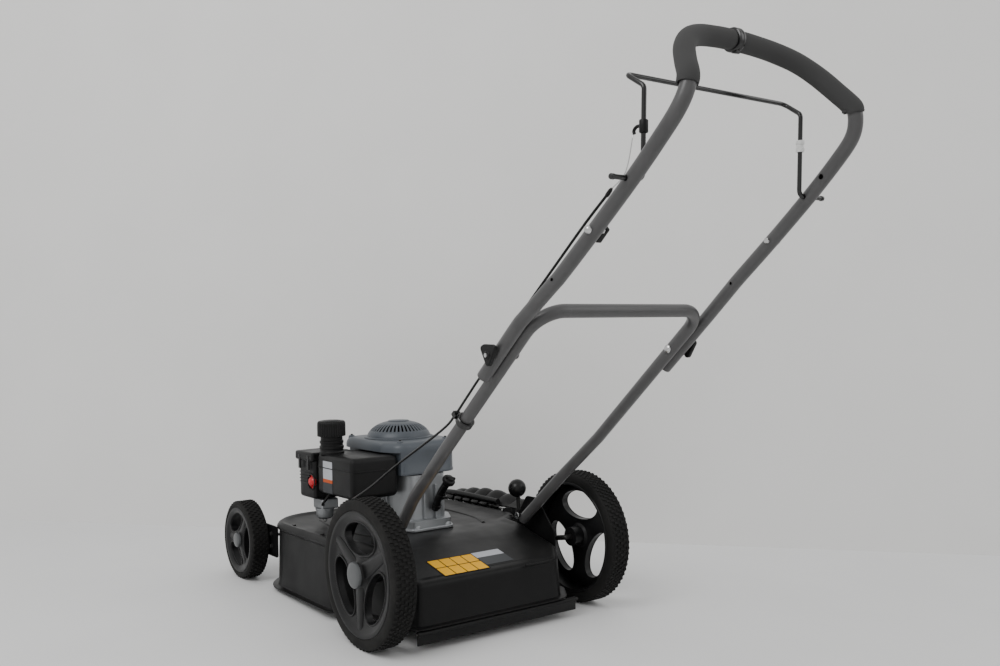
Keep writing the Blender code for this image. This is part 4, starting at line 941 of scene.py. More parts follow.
def build_handles(settings):
    """Upper and lower handle tubes with their holes and end plugs."""
    upper = flow(upper_line(), 5)
    across = (1, 0, 0)
    holes = [cylinder("fold_hole", 0.0044, 0.56, (0, FOLD_Y, FOLD_Z), across),
             cylinder("bail_hole", 0.0049, 0.56, (0, BAIL_Y, BAIL_Z), across),
             cylinder("mid_hole", 0.0037, 0.56, (0, MID_BOLT_Y, MID_BOLT_Z), across),
             cylinder("spare_hole_low", 0.0032, 0.56, (0, *lean_point(0.195, -0.006)), across),
             cylinder("spare_hole_high", 0.0048, 0.06, (0.2130, -0.699, 0.9160), across)]
    tube_piece("upper_tube", upper, settings.tube_wall, "upper_handle", ("upper_handle",), holes)
    leg = [(0.1755, 0.1010, 0.190), (0.1935, -0.009, 0.300), (LOWER_LEG_X, *lean_point(-0.297)),
           (LOWER_LEG_X, *lean_point(0.113))]
    lower = bend([*leg, *reversed(mirrored(leg))], 0.055, 14)
    holes = [cylinder("lower_fold_hole", 0.0044, 0.5, (0, FOLD_Y, FOLD_Z), across),
             cylinder("stud_hole", 0.0046, 0.5, (0, STUD_Y, STUD_Z), across, 32, DECK)]
    tube_piece("lower_tube", lower, settings.tube_wall, "chassis", ("lower_handle",), holes)
    for side, sign in sides():
        foot = Vector((sign * FOOT_X, *lean_point(-0.060)))
        direction = Vector((0, *lean_point(-0.061))) - Vector((0, *lean_point(-0.060)))
        plug = turned(f"tube_plug_{side}", [(0, 0.0012), (0.0100, 0.0012), (0.0110, 0.0002), (0.0110, -0.010),
                                            (0, -0.010)], axis_matrix(foot, direction), 32)
        finish_piece(plug, "black plastic", "upper_handle")


def build_grips(settings):
    """Foam sleeves that swell a little between their ends, and the band where they meet."""
    for side, sign in sides():
        begin = 0.55 if sign > 0 else 0.30
        start = Vector(GRIP_ARCH[2]).lerp(Vector(GRIP_ARCH[3]), begin)
        covered = [tuple(start), *GRIP_ARCH[3:-1], (0.0090, *GRIP_ARCH[-1][1:])]
        points = flow(covered if sign > 0 else mirrored(covered), 8)
        count = len(points)
        radii = []
        for index in range(count):
            share = index / (count - 1)
            end = min(share, 1 - share)
            crown = 0.955 + 0.045 * clamp(end / 0.05) ** 0.5
            radii.append(crown + 0.006 * math.sin(share * 21.0) * clamp(end / 0.1))
        foam = pipe(f"foam_sleeve_{side}", points, settings.foam_radius, 12, False, None, radii)
        foam = bake(solid_wall(foam, settings.foam_radius - 0.0146))
        finish_piece(foam, "foam", "upper_handle", (f"grip_{side}",), 50.0)
    y, z = GRIP_ARCH[-1][1:]
    band_profile = [(0.0133, 0.0075), (0.0180, 0.0075), (0.0194, 0.0066), (0.0200, 0.0050), (0.0200, 0.0022),
                    (0.0192, 0.0014), (0.0192, -0.0014), (0.0200, -0.0022), (0.0200, -0.0050), (0.0194, -0.0066),
                    (0.0180, -0.0075), (0.0133, -0.0075)]
    band = turned("grip_joint_band", band_profile, axis_matrix((0, y, z), (1, 0, 0)), 48, True)
    finish_piece(band, "gloss black", "upper_handle", ("grip_band",))
    lug = box("band_lug", (0.010, 0.010, 0.006), (0, y - 0.004, z - 0.0195), None, (0.2, 0, 0))
    finish_piece(bevelled(lug, 0.0015), "gloss black", "upper_handle")


def build_bail():
    """The engine brake bail with its white clip, cable hook and end tips."""
    shoulder_z = 1.026
    half = [(0.256, BAIL_Y, BAIL_Z), (BAIL_LEG_X, BAIL_Y, BAIL_Z), (BAIL_LEG_X, BAIL_Y - 0.002, shoulder_z),
            (0.1915, BAIL_Y + 0.036, 1.050)]
    line = bend([*half, *reversed(mirrored(half))], 0.011, 8)
    bar = pipe("bail_bar", line, 0.004, 8)
    finish_piece(bar, "gloss black", "bail", ("bail",), 50.0)
    clip = turned("bail_clip", [(0.0046, 0.010), (0.0066, 0.010), (0.0074, 0.008), (0.0074, 0.0035), (0.0062, 0.0025),
                                (0.0062, -0.0025), (0.0074, -0.0035), (0.0074, -0.008), (0.0066, -0.010),
                                (0.0046, -0.010)], Matrix.Translation((BAIL_LEG_X, BAIL_Y - 0.0013, 0.971)), 40, True)
    finish_piece(clip, "white plastic", "bail", ("bail_sleeve",))
    hook = turned("cable_hook_collar", [(0.0046, 0.010), (0.0062, 0.010), (0.0070, 0.0085), (0.0070, -0.0085),
                                        (0.0062, -0.010), (0.0046, -0.010)],
                  Matrix.Translation((-BAIL_LEG_X, BAIL_Y - 0.0013, 0.965)), 40, True)
    finish_piece(hook, "black plastic", "bail", ("cable_hook",))
    ear_line = [(-BAIL_LEG_X, BAIL_Y + out, z) for out, z in
                ((0.004, 0.967), (0.014, 0.966), (0.0195, 0.961), (0.0185, 0.956))]
    ear = pipe("cable_hook_ear", flow(ear_line, 5), 0.0027, 6)
    finish_piece(ear, "black plastic", "bail")
    for side, sign in sides():
        tip = turned(f"bail_tip_{side}", [(0, 0.0010), (0.0030, 0.0008), (0.0046, -0.0005), (0.0048, -0.006),
                                          (0.0042, -0.006)],
                     axis_matrix((sign * 0.2555, BAIL_Y, BAIL_Z), (sign, 0, 0)), 24)
        finish_piece(tip, "gloss black", "bail")


def build_fasteners():
    """Wing knobs, fold bolts and the bolts half way up the upper handle."""
    wing = [(0.000, -0.026, 0.007), (0.024, 0.014, 0.006), (0.012, 0.019, 0.008), (-0.012, 0.019, 0.008),
            (-0.024, 0.014, 0.006)]
    upright = Euler((math.pi / 2, 0, math.pi / 2)).to_matrix().to_4x4()
    for side, sign in sides():
        place = Matrix.Translation((sign * KNOB_X, FOLD_Y, FOLD_Z)) @ upright
        body = f"knob_{side}"
        blade = prism(f"wing_{side}", fillet_closed(wing, 6), -0.0045, 0.0045, place)
        finish_piece(bevelled(blade, 0.0022, 4), "black plastic", body, (f"wing_knob_{side}",), 40.0)
        boss = turned(f"wing_boss_{side}", [(0, 0.0068), (0.0060, 0.0066), (0.0080, 0.0052), (0.0088, 0.0030),
                                            (0.0092, -0.0058), (0, -0.0058)],
                      axis_matrix((sign * KNOB_X, FOLD_Y, FOLD_Z), (sign, 0, 0)), 40)
        finish_piece(boss, "black plastic", body)
        head_x = sign * (LOWER_LEG_X - TUBE_R - 0.0003)
        head = turned(f"fold_bolt_head_{side}", [(0, 0.0042), (0.0045, 0.0036), (0.0075, 0.0018), (0.0086, 0.0002),
                                                 (0.0086, 0.0), (0.0038, 0.0), (0.0038, -0.068), (0, -0.068)],
                      axis_matrix((head_x, FOLD_Y, FOLD_Z), (-sign, 0, 0)), 40)
        finish_piece(head, "bright steel", "chassis", (f"handle_bolt_{side}",))
        outer = sign * (MID_LEG_X + TUBE_R + 0.0006)
        mid = turned(f"mid_bolt_head_{side}", [(0, 0.0066), (0.0030, 0.0063), (0.0055, 0.0046), (0.0068, 0.0020),
                                               (0.0069, 0.0), (0.0030, 0.0), (0.0030, -0.0262), (0, -0.0262)],
                     axis_matrix((outer, MID_BOLT_Y, MID_BOLT_Z), (sign, 0, 0)), 40)
        finish_piece(mid, "bright steel", "upper_handle", (f"mid_bolt_{side}",))
        nut = bevelled(prism(f"mid_nut_{side}", circle(0.0055, 6), 0.0, 0.0046,
                             axis_matrix((sign * 0.2025, MID_BOLT_Y, MID_BOLT_Z), (-sign, 0, 0))), 0.0006, 2)
        finish_piece(nut, "bright steel", "upper_handle")


def blended_line(name, points, radius, resolution, material):
    """A smooth bar along a line of points, with its finish and smooth shading."""
    line = pipe(name, points, radius, resolution)
    line.data.materials.append(finish(material))
    line.data.shade_smooth()
    return line


def build_cable():
    """The brake cable in its black outer, the bare wire at the bail, and the clips that hold them."""
    front = TUBE_R + CABLE_R + 0.0016
    upper = [(-0.2065, *lean_point(0.366, front)), (-0.2120, *lean_point(0.300, front + 0.0004)),
             (-0.2160, *lean_point(0.210, front)), (-0.2190, *lean_point(0.130, front)),
             (-0.2206, *lean_point(0.060, front)), (-0.2206, *lean_point(0.010, front + 0.001))]
    lower = [(-0.2141, *lean_point(-0.010, front + 0.001)), (-0.2142, *lean_point(-0.045, front)),
             (-0.2180, *lean_point(-0.085, front)), (-0.2175, *lean_point(-0.150, front)),
             (-0.2170, *lean_point(-0.196, front + 0.0004)),
             (-0.2170, -0.150, 0.4560), (-0.2200, 0.010, 0.3705), (-0.2185, 0.130, 0.3050),
             (-0.2130, 0.240, 0.2550), (-0.1880, 0.306, 0.2360), (-0.1480, 0.325, 0.2320)]
    for name, line, body, node in (("cable_outer_upper", upper, "upper_handle", "brake_cable_upper"),
                                   ("cable_outer_lower", lower, "chassis", "brake_cable_lower")):
        outer = pipe(name, flow(line, 8), CABLE_R, 6)
        finish_piece(outer, "smooth black", body, (node,))
    joint = flow([upper[-2], upper[-1], lower[0], lower[1]], 12)[10:27]
    link = blended_line("cable_outer_at_fold", joint, CABLE_R, 6, "smooth black")
    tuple(upper[-1])
    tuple(lower[0])
    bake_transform(link)
    wire_line = [(-0.1890, BAIL_Y + 0.0205, 0.9590), (-0.1950, *lean_point(0.405, 0.022)),
                 (-0.2050, *lean_point(0.372, front + 0.001)), (-0.2065, *lean_point(0.360, front))]
    wire = blended_line("bare_wire", flow(wire_line, 6), 0.0009, 4, "bright steel")
    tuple(wire_line[0])
    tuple(wire_line[2])
    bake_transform(wire)
    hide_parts("brake_wire")
    along = Vector((0, *lean_point(1.0))) - Vector((0, *lean_point(0.0)))
    ferrule = turned("cable_ferrule", [(0, 0.014), (0.0022, 0.014), (0.0034, 0.010), (0.0036, 0.0), (0.0030, -0.002),
                                       (0, -0.002)],
                     axis_matrix((-0.2065, *lean_point(0.360, front)), along), 24)
    finish_piece(ferrule, "smooth black", "upper_handle")
    refined("cable_stop", "black plastic", "upper_handle", 0.001, 3)
    refined("cable_clamp", "gloss black", "chassis", 0.0008, 3, 40.0)
    clamp_y, clamp_z = lean_point(CABLE_CLAMP_AT)
    collar = turned("clamp_collar", [(0.0131, 0.007), (0.0160, 0.007), (0.0176, 0.0055), (0.0176, -0.0055),
                                     (0.0160, -0.007), (0.0131, -0.007)],
                    axis_matrix((-LOWER_LEG_X, clamp_y, clamp_z), along), 48, True)
    finish_piece(collar, "gloss black")


# ---------------------------------------------------------------- engine

def shroud_outline(steps):
    return fillet_closed([(-0.078, 0.206, 0.035), (0.068, 0.206, 0.035), (0.102, 0.270, 0.05),
                          (0.098, 0.470, 0.05), (-0.100, 0.470, 0.05), (-0.100, 0.262, 0.03)], steps)


def build_shroud():
    """Blower housing: straight sides, a rounded shoulder and a raised ring under the recoil cover."""
    outline = shroud_outline(12)
    centre = sum(outline, Vector((0, 0))) / len(outline)
    step_x, step_z, base = -0.0740, TANK_TOP + 0.003, 0.154
    levels = [(0.0, base, step_x), (-0.0012, base + 0.0005, step_x), (-0.0012, base + 0.006, step_x),
              (0.0, base + 0.0075, step_x), (0.0, step_z, step_x), (0.0, step_z + 0.0008, -1.0),
              (0.0006, SHROUD_TOP - 0.014, -1.0), (0.0022, SHROUD_TOP - 0.0095, -1.0),
              (0.0055, SHROUD_TOP - 0.0050, -1.0), (0.0105, SHROUD_TOP - 0.0018, -1.0),
              (0.0170, SHROUD_TOP - 0.0004, -1.0), (0.026, SHROUD_TOP, -1.0)]
    bm = bmesh.new()
    loops = []
    for shrink, height, left_limit in levels:
        loop = []
        for point in outline:
            spoke = point - centre
            moved = centre + spoke * (1.0 - shrink / spoke.length)
            loop.append(bm.verts.new((max(moved.x, left_limit), moved.y, height)))
        loops.append(loop)
    join_loops(bm, loops)
    bm.faces.new(loops[-1])
    bmesh.ops.recalc_face_normals(bm, faces=bm.faces)
    shell = bake(solid_wall(from_bmesh("blower_housing", bm, DECK), 0.0022))
    shell = cut(shell, [cylinder("housing_opening", 0.066, 0.05, (0, CRANK_Y, SHROUD_TOP), (0, 0, 1), 64, DECK)])
    finish_piece(shell, "shroud plastic", "chassis", ("blower_shroud",), 38.0)
    collar = turned("housing_ring", [(0.0775, -0.001), (0.0800, -0.001), (0.0835, 0.0008), (0.0850, 0.0025),
                                     (0.0835, 0.0040), (0.0800, 0.0046), (0.0775, 0.0046)],
                    deck_at(0, CRANK_Y, SHROUD_TOP - 0.0016), 96, True)
    finish_piece(collar, "shroud plastic")
    for index, (x, y) in enumerate(((0.066, 0.222), (0.083, 0.452), (-0.083, 0.452), (-0.070, 0.222))):
        boss = turned(f"housing_boss_{index}", [(0, 0.0060), (0.0050, 0.0058), (0.0072, 0.0045), (0.0085, 0.0),
                                                (0.0090, -0.010), (0, -0.010)],
                      deck_at(x * 0.93, y + (CRANK_Y - y) * 0.06, SHROUD_TOP - 0.003), 32)
        finish_piece(boss, "shroud plastic")
        top = DECK @ Vector((x * 0.93, y + (CRANK_Y - y) * 0.06, SHROUD_TOP + 0.0022))
        add_bolt(f"housing_screw_{index}", top, DECK_UP, 0.0034)


def build_recoil(settings):
    """Domed cover: a ring of cooling slots round its flank, a flat crown and a rolled lip, with the starter grip, rope
    and guide.
    """
    rise, rim = 0.0400, 0.079
    steps = settings.cover_slots * 4
    radii = [0.0, 0.010, 0.019, 0.0285, 0.038, 0.0420, 0.0500, 0.0580, 0.0650, 0.0700, 0.0735, 0.0762, 0.0780, rim]

    def height(r):
        return rise * (1.0 - (r / rim) ** 2.6) ** 0.62

    bm = bmesh.new()
    rings = [ring_of(bm, r, height(r), steps) for r in radii]
    slot_rings = (6, 7, 8)
    for number, (near, far) in enumerate(zip(rings, rings[1:])):
        for i in range(steps):
            j = (i + 1) % steps
            if number in slot_rings and i % 4 in (0, 1):
                continue
            corners = dict.fromkeys([near[i % len(near)], near[j % len(near)], far[j % len(far)], far[i % len(far)]])
            bm.faces.new(list(corners))
    bmesh.ops.recalc_face_normals(bm, faces=bm.faces)
    base = deck_at(0, CRANK_Y, SHROUD_TOP + 0.0003)
    cover = solid_wall(from_bmesh("recoil_dome", bm, base), 0.0024)
    finish_piece(cover, "shroud plastic", "chassis", ("recoil_cover",), 35.0)
    # A near-black disc just inside the dome: painted shade seen through the cooling slots.
    disc = turned("dome_painted_shade", [(0, 0.0330), (0.030, 0.0312), (0.055, 0.0215), (0.070, 0.0080), (0.070, 0.0070),
                                  (0.055, 0.0200), (0.030, 0.0300), (0, 0.0318)], base, 64)
    finish_piece(disc, "painted shade behind slots")
    crown = turned("dome_crown", [(0, 0.0022), (0.024, 0.0014), (0.0262, 0.0002), (0.0262, -0.002), (0, -0.002)],
                   base @ Matrix.Translation((0, 0, rise - 0.0007)), 64)
    finish_piece(crown, "shroud plastic")
    lip = turned("dome_lip", [(0.0775, 0.000), (0.0805, 0.000), (0.0815, 0.0012), (0.0812, 0.0026), (0.0795, 0.0036),
                              (0.0770, 0.0036)], base, 96, True)
    finish_piece(lip, "shroud plastic")
    grip = turned("starter_grip", [(0, 0.024), (0.008, 0.0232), (0.0125, 0.020), (0.0140, 0.015), (0.0130, 0.010),
                                   (0.0095, 0.005), (0.0070, 0.001), (0.0050, 0.0), (0, 0.0)],
                   DECK @ axis_matrix((0.1060, STARTER_Y, STARTER_Z), (1, 0, 0)), 40)
    finish_piece(grip, "black plastic", "starter", ("starter_handle",))
    rope_line = [Vector((0.060 + 0.047 * i / 22, STARTER_Y, STARTER_Z)) for i in range(23)]
    rope = blended_line("starter_rope", [DECK @ p for p in rope_line], 0.0018, 4, "white plastic")
    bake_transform(rope)
    guide = turned("rope_guide", [(0.0030, 0.0), (0.0095, 0.0), (0.0105, 0.0012), (0.0100, 0.0028), (0.0070, 0.0036),
                                  (0.0030, 0.0030)],
                   DECK @ axis_matrix((0.1005, STARTER_Y, STARTER_Z), (1, 0, 0)), 32, True)
    finish_piece(guide, "smooth black")


def build_tank(settings):
    """Fuel tank with its moulded seam, stepped neck and ribbed cap."""
    tank_height = 0.0955
    centre = (-0.139, 0.3055, TANK_TOP - tank_height / 2)
    tank = box("tank_body", (0.122, 0.177, tank_height), centre, DECK)
    bevelled(tank, 0.012, 6)
    finish_piece(bake(tank), "black plastic", "chassis", ("fuel_tank",), 40.0)
    seam = fillet_closed([(-0.0613, -0.0888, 0.012), (0.0613, -0.0888, 0.012), (0.0613, 0.0888, 0.012),
                          (-0.0613, 0.0888, 0.012)], 6)
    line = [(centre[0] + p.x, centre[1] + p.y, centre[2] + 0.016) for p in seam]
    finish_piece(ring_pipe("tank_seam", line, 0.0013, DECK), "black plastic", "chassis")
    neck_place = deck_at(FUEL_CAP_X, FUEL_CAP_Y, TANK_TOP - 0.002)
    neck = turned("tank_neck", [(0, 0.0), (0.0300, 0.0), (0.0300, 0.005), (0.0275, 0.008), (0.0275, 0.012),
                                (0.0292, 0.0135), (0.0292, 0.0190), (0.0270, 0.0205), (0.0270, 0.0250),
                                (0.0285, 0.0265), (0.0285, 0.0315), (0.0262, 0.0330), (0.0262, 0.0425), (0, 0.0425)],
                  neck_place, 56)
    finish_piece(neck, "black plastic", "chassis", smooth_angle=30.0)

    ribs, top, outer = settings.cap_ribs, 0.037, 0.0337
    bm = bmesh.new()
    rings = []
    steps = ribs * 4
    levels = [(0.0, 0.92), (0.001, 1.0), (0.0285, 1.0), (0.0325, 0.985), (0.0355, 0.94), (0.037, 0.86)]
    for level, share in levels:
        ring = []
        for i in range(steps):
            ridge = 1.0 if i % 4 in (0, 1) or share < 0.93 else 0.965
            a = math.tau * i / steps
            ring.append(bm.verts.new((outer * share * ridge * math.cos(a), outer * share * ridge * math.sin(a), level)))
        rings.append(ring)
    join_loops(bm, rings)
    bm.faces.new(rings[-1])
    bm.faces.new(list(reversed(rings[0])))
    place = deck_at(FUEL_CAP_X, FUEL_CAP_Y, 0.2435)
    finish_piece(from_bmesh("ribbed_fuel_cap", bm, place), "black plastic", "fuel_cap", ("fuel_cap",),
                 35.0)
    crest = turned("fuel_cap_crown", [(0, 0.0014), (0.021, 0.0012), (0.0225, 0.0004), (0.0235, -0.001), (0, -0.001)],
                   place @ Matrix.Translation((0, 0, top)), 48)
    finish_piece(crest, "black plastic", "fuel_cap")


def build_intake():
    """Air filter housing with its lid and clips, primer bulb and carburettor."""
    housing = box("filter_housing", (0.102, 0.084, 0.112), (-0.1520, 0.4430, 0.1465), DECK)
    bevelled(housing, 0.008, 5)
    housing = bake(housing)
    seat = cylinder("primer_recess", 0.0172, 0.016, (-0.1990, PRIMER_Y, PRIMER_Z), (1, 0, 0), 40, DECK)
    finish_piece(cut(housing, [seat]), "black plastic", "chassis", ("air_filter_box",), 35.0)
    lid = box("filter_lid", (0.108, 0.096, 0.022), (-0.1555, 0.4480, 0.1920), DECK)
    finish_piece(bevelled(lid, 0.0055, 4), "black plastic")
    for index, y in enumerate((0.424, 0.470)):
        clip = box(f"filter_clip_{index}", (0.004, 0.010, 0.034), (-0.2085, y, 0.178), DECK)
        finish_piece(bevelled(clip, 0.0012), "smooth black")
    for index in range(4):
        rib = box(f"filter_rib_{index}", (0.0030, 0.056, 0.0026), (-0.2035, 0.452, 0.152 - index * 0.008), DECK)
        finish_piece(bevelled(rib, 0.0008), "black plastic")
    bulb = turned("primer_dome", [(0, 0.0122), (0.0035, 0.0120), (0.0075, 0.0108), (0.0105, 0.0085), (0.0122, 0.0055),
                                  (0.0128, 0.0042), (0.0160, 0.0038), (0.0162, 0.0014), (0, 0.0010)],
                  DECK @ axis_matrix((-0.1970, PRIMER_Y, PRIMER_Z), (-1, 0, 0)), 48)
    finish_piece(bulb, "red rubber", "primer", ("primer_bulb",))
    ring = turned("primer_ring", [(0.0174, 0.0), (0.0200, 0.0), (0.0205, 0.0010), (0.0198, 0.0022), (0.0174, 0.0022)],
                  DECK @ axis_matrix((-0.2030, PRIMER_Y, PRIMER_Z), (-1, 0, 0)), 48, True)
    finish_piece(ring, "black plastic")
    carb = box("carburettor_body", (0.044, 0.050, 0.026), (-0.160, 0.430, 0.0757), DECK)
    finish_piece(bevelled(carb, 0.004, 4), "cast aluminium", "chassis", ("carburettor",))
    bowl = turned("carburettor_bowl", [(0, -0.0150), (0.0060, -0.0150), (0.0065, -0.0135), (0.0150, -0.0125),
                                       (0.0195, -0.0090), (0.0212, -0.0020), (0.0215, 0.0080), (0.0228, 0.0088),
                                       (0.0228, 0.0125), (0, 0.0125)],
                  deck_at(-0.166, 0.424, 0.052), 48)
    finish_piece(bowl, "cast aluminium")
    stem = turned("bowl_bolt", [(0, -0.0070), (0.0034, -0.0066), (0.0046, -0.0050), (0.0046, 0.0), (0, 0.0)],
                  deck_at(-0.166, 0.424, 0.0372), 12)
    finish_piece(stem, "bright steel")
    line = [(-0.176, 0.409, 0.074), (-0.185, 0.398, 0.078), (-0.186, 0.380, 0.090), (-0.178, 0.370, 0.106)]
    hose = pipe("fuel_hose", flow(line, 6), 0.0032, 6, True, DECK)
    finish_piece(hose, "smooth black")


def build_block():
    """Crankcase and cylinder castings with their ribs, studs and covers."""
    base = TOP_Z + 0.0003
    refined("crankcase", "cast aluminium", "chassis", 0.0018, 3, 30.0)
    for index, (x, y, turn) in enumerate(((-0.052, 0.215, 0.5), (-0.020, 0.201, 0.0), (0.012, 0.201, 0.0),
                                          (0.044, 0.216, -0.7), (0.0605, 0.275, 1.57), (0.0605, 0.320, 1.57),
                                          (0.0605, 0.365, 1.57), (-0.0745, 0.275, 1.57))):
        rib = box(f"case_rib_{index}", (0.004, 0.010, 0.080), (x, y, base + 0.064), DECK, (0, 0, turn))
        finish_piece(bevelled(rib, 0.0014), "cast aluminium")
    for index, (x, y) in enumerate(((-0.046, 0.194), (0.036, 0.194), (0.067, 0.262), (0.067, 0.425), (-0.082, 0.262),
                                    (-0.082, 0.425))):
        lug = turned(f"mount_lug_{index}", [(0, 0.0), (0.0125, 0.0), (0.0125, 0.010), (0.0105, 0.014), (0, 0.014)],
                     deck_at(x, y, base + 0.0002), 32)
        finish_piece(lug, "cast aluminium")
        add_bolt(f"mount_bolt_{index}", DECK @ Vector((x, y, base + 0.0142)), DECK_UP, 0.0062,
                 "chassis", "bright steel")
    plate_outline = fillet_closed([(-0.070, -0.028, 0.010), (0.070, -0.028, 0.010), (0.070, 0.028, 0.010),
                                   (-0.070, 0.028, 0.010)], 6)
    foot = prism("sump_flange", fillet_closed([(-0.060, 0.180, 0.012), (0.048, 0.180, 0.012), (0.078, 0.244, 0.03),
                                               (0.078, 0.442, 0.02), (-0.094, 0.442, 0.02), (-0.094, 0.244, 0.03)], 8),
                 base + 0.0002, base + 0.007, DECK)
    finish_piece(bevelled(foot, 0.0016), "cast aluminium")
    refined("cylinder", "cast aluminium", "chassis", 0.0007, 2, 30.0)
    refined("muffler", "rust brown", "chassis", 0.002, 3, 30.0)
    guard_line = [(0.1275, 0.432, 0.060), (0.1275, 0.432, 0.124), (0.1275, 0.508, 0.124), (0.1275, 0.508, 0.060)]
    guard = pipe("muffler_guard", bend(guard_line, 0.012, 6), 0.0020, 5, True, DECK)
    finish_piece(guard, "dark steel")
    refined("spark_plug_boot", "smooth black", "chassis", 0.001, 3, 30.0)
    lead_line = [(0.0100, 0.5440, 0.0920), (0.0120, 0.5490, 0.1000), (0.0300, 0.5440, 0.1250), (0.0480, 0.5150, 0.1400),
                 (0.0560, 0.4700, 0.1500)]
    lead = pipe("ignition_lead", flow(lead_line, 6), 0.0033, 6, True, DECK)
    finish_piece(lead, "smooth black")
    breather = prism("breather_cover", plate_outline, 0.0, 0.006,
                     DECK @ axis_matrix((0.0600, 0.335, base + 0.082), (1, 0, 0), math.pi / 2)
                     @ Matrix.Scale(0.55, 4, (1, 0, 0)))
    finish_piece(bevelled(breather, 0.0015), "cast aluminium")
    tube_line = [FILLER_FOOT, (0.0060, 0.1800, 0.095), (0.0080, 0.1660, 0.116), FILLER_TOP]
    filler = pipe("filler_tube", flow(tube_line, 8), 0.0090, 8, True, DECK)
    finish_piece(filler, "smooth black", "chassis", ("oil_filler_tube",))
    for index, share in enumerate((0.15, 0.55)):
        spot = Vector(FILLER_FOOT).lerp(Vector(FILLER_TOP), share)
        collar = turned(f"filler_collar_{index}", [(0.0088, -0.004), (0.0112, -0.004), (0.0118, 0.0), (0.0112, 0.004),
                                                   (0.0088, 0.004)],
                        DECK @ axis_matrix(spot, (0.005, -0.043, 0.063)), 32, True)
        finish_piece(collar, "smooth black")
    stick_place = DECK @ (Matrix.Translation((0.0116, 0.1504, 0.1353))
                          @ Euler((math.radians(40), math.radians(16), 0)).to_matrix().to_4x4())
    grip = turned("dipstick_cap", [(0, 0.0200), (0.0060, 0.0200), (0.0085, 0.0190), (0.0095, 0.0150), (0.0140, 0.0140),
                                   (0.0155, 0.0120), (0.0156, 0.0060), (0.0140, 0.0035), (0.0120, 0.0010),
                                   (0, 0.0010)], stick_place, 40)
    finish_piece(grip, "black plastic", "dipstick", ("dipstick",))
    handle = box("dipstick_wing", (0.026, 0.006, 0.012), (0, 0, 0.0150), stick_place)
    finish_piece(bevelled(handle, 0.002), "black plastic", "dipstick")


def build_running_gear():
    """Axles, brackets, height lever, rear flap, and the blade under the deck."""
    axle_half = [(0.229, 0.075, -0.012), (0.244, 0.0, 0.0), (0.315, 0.0, 0.0)]
    axle = pipe("crank_axle", bend([*reversed(mirrored(axle_half)), *axle_half], 0.004, 4), 0.006, 8, True, DECK)
    finish_piece(axle, "dark steel", "height_adjuster", ("rear_axle",))
    lever_line = [(0.2135, 0.0868, -0.012), (0.2140, 0.118, -0.004), (0.2130, 0.1325, 0.014), (0.2100, 0.1350, 0.050),
                  (0.2085, 0.1355, 0.0835)]
    lever = pipe("lever_bar", flow(lever_line, 8), 0.0050, 8, True, DECK)
    finish_piece(lever, "dark steel", "height_adjuster", ("height_lever",))
    profile = [(0, -0.0215), (0.0070, -0.0212), (0.0090, -0.0200)]
    profile += [(0.022 * math.cos(math.radians(a)), 0.022 * math.sin(math.radians(a))) for a in range(-60, 90, 8)]
    profile += [(0, 0.022)]
    knob = turned("lever_knob", profile, deck_at(0.2060, 0.1355, 0.1045), 48)
    finish_piece(knob, "smooth black", "height_adjuster", ("height_knob",))
    for node in ("handle_bracket_left", "handle_bracket_right", "front_bracket_left", "front_bracket_right"):
        refined(node, "deck paint", "chassis", 0.0008, 2, 40.0)
    refined("front_axle", "bright steel", "chassis", 0.0005, 2, 40.0)
    refined("flap_rod", "dark steel", "chassis", 0.0004, 2, 40.0)
    refined("rear_flap", "black plastic", "rear_flap", 0.0004, 2, 40.0)
    refined("brake_lever", "bright steel", "brake_lever", 0.0004, 2, 40.0)
    refined("blade", "ground steel", "crank", 0.0004, 2, 40.0)
    refined("blade_bolt", "bright steel", "crank", 0.0006, 2, 40.0)
    refined("crankshaft", "dark steel", "crank", 0.0005, 2, 40.0)
    refined("flywheel", "cast aluminium", "crank", 0.0006, 2, 40.0)
    for side, sign in sides():
        stud = DECK @ Vector((sign * 0.1585, STUD_Y, STUD_Z))
        nut = turned(f"stud_clip_{side}", [(0.0042, 0.0), (0.0075, 0.0), (0.0078, 0.0012), (0.0075, 0.0024),
                                           (0.0042, 0.0024)], axis_matrix(stud, (-sign, 0, 0)), 32, True)
        finish_piece(nut, "bright steel")
        for index, z in enumerate((-0.040, -0.010)):
            place = DECK @ Vector((sign * 0.2456, 0.563, z))
            add_bolt(f"bracket_bolt_{side}_{index}", place, Vector((sign, 0, 0)), 0.0050)
    for index, (y, z) in enumerate(((0.100, 0.030), (0.070, 0.072))):
        add_bolt(f"lever_bolt_{index}", DECK @ Vector((0.2028, y, z)), Vector((1, 0, 0)), 0.0050)


# ---------------------------------------------------------------- stage

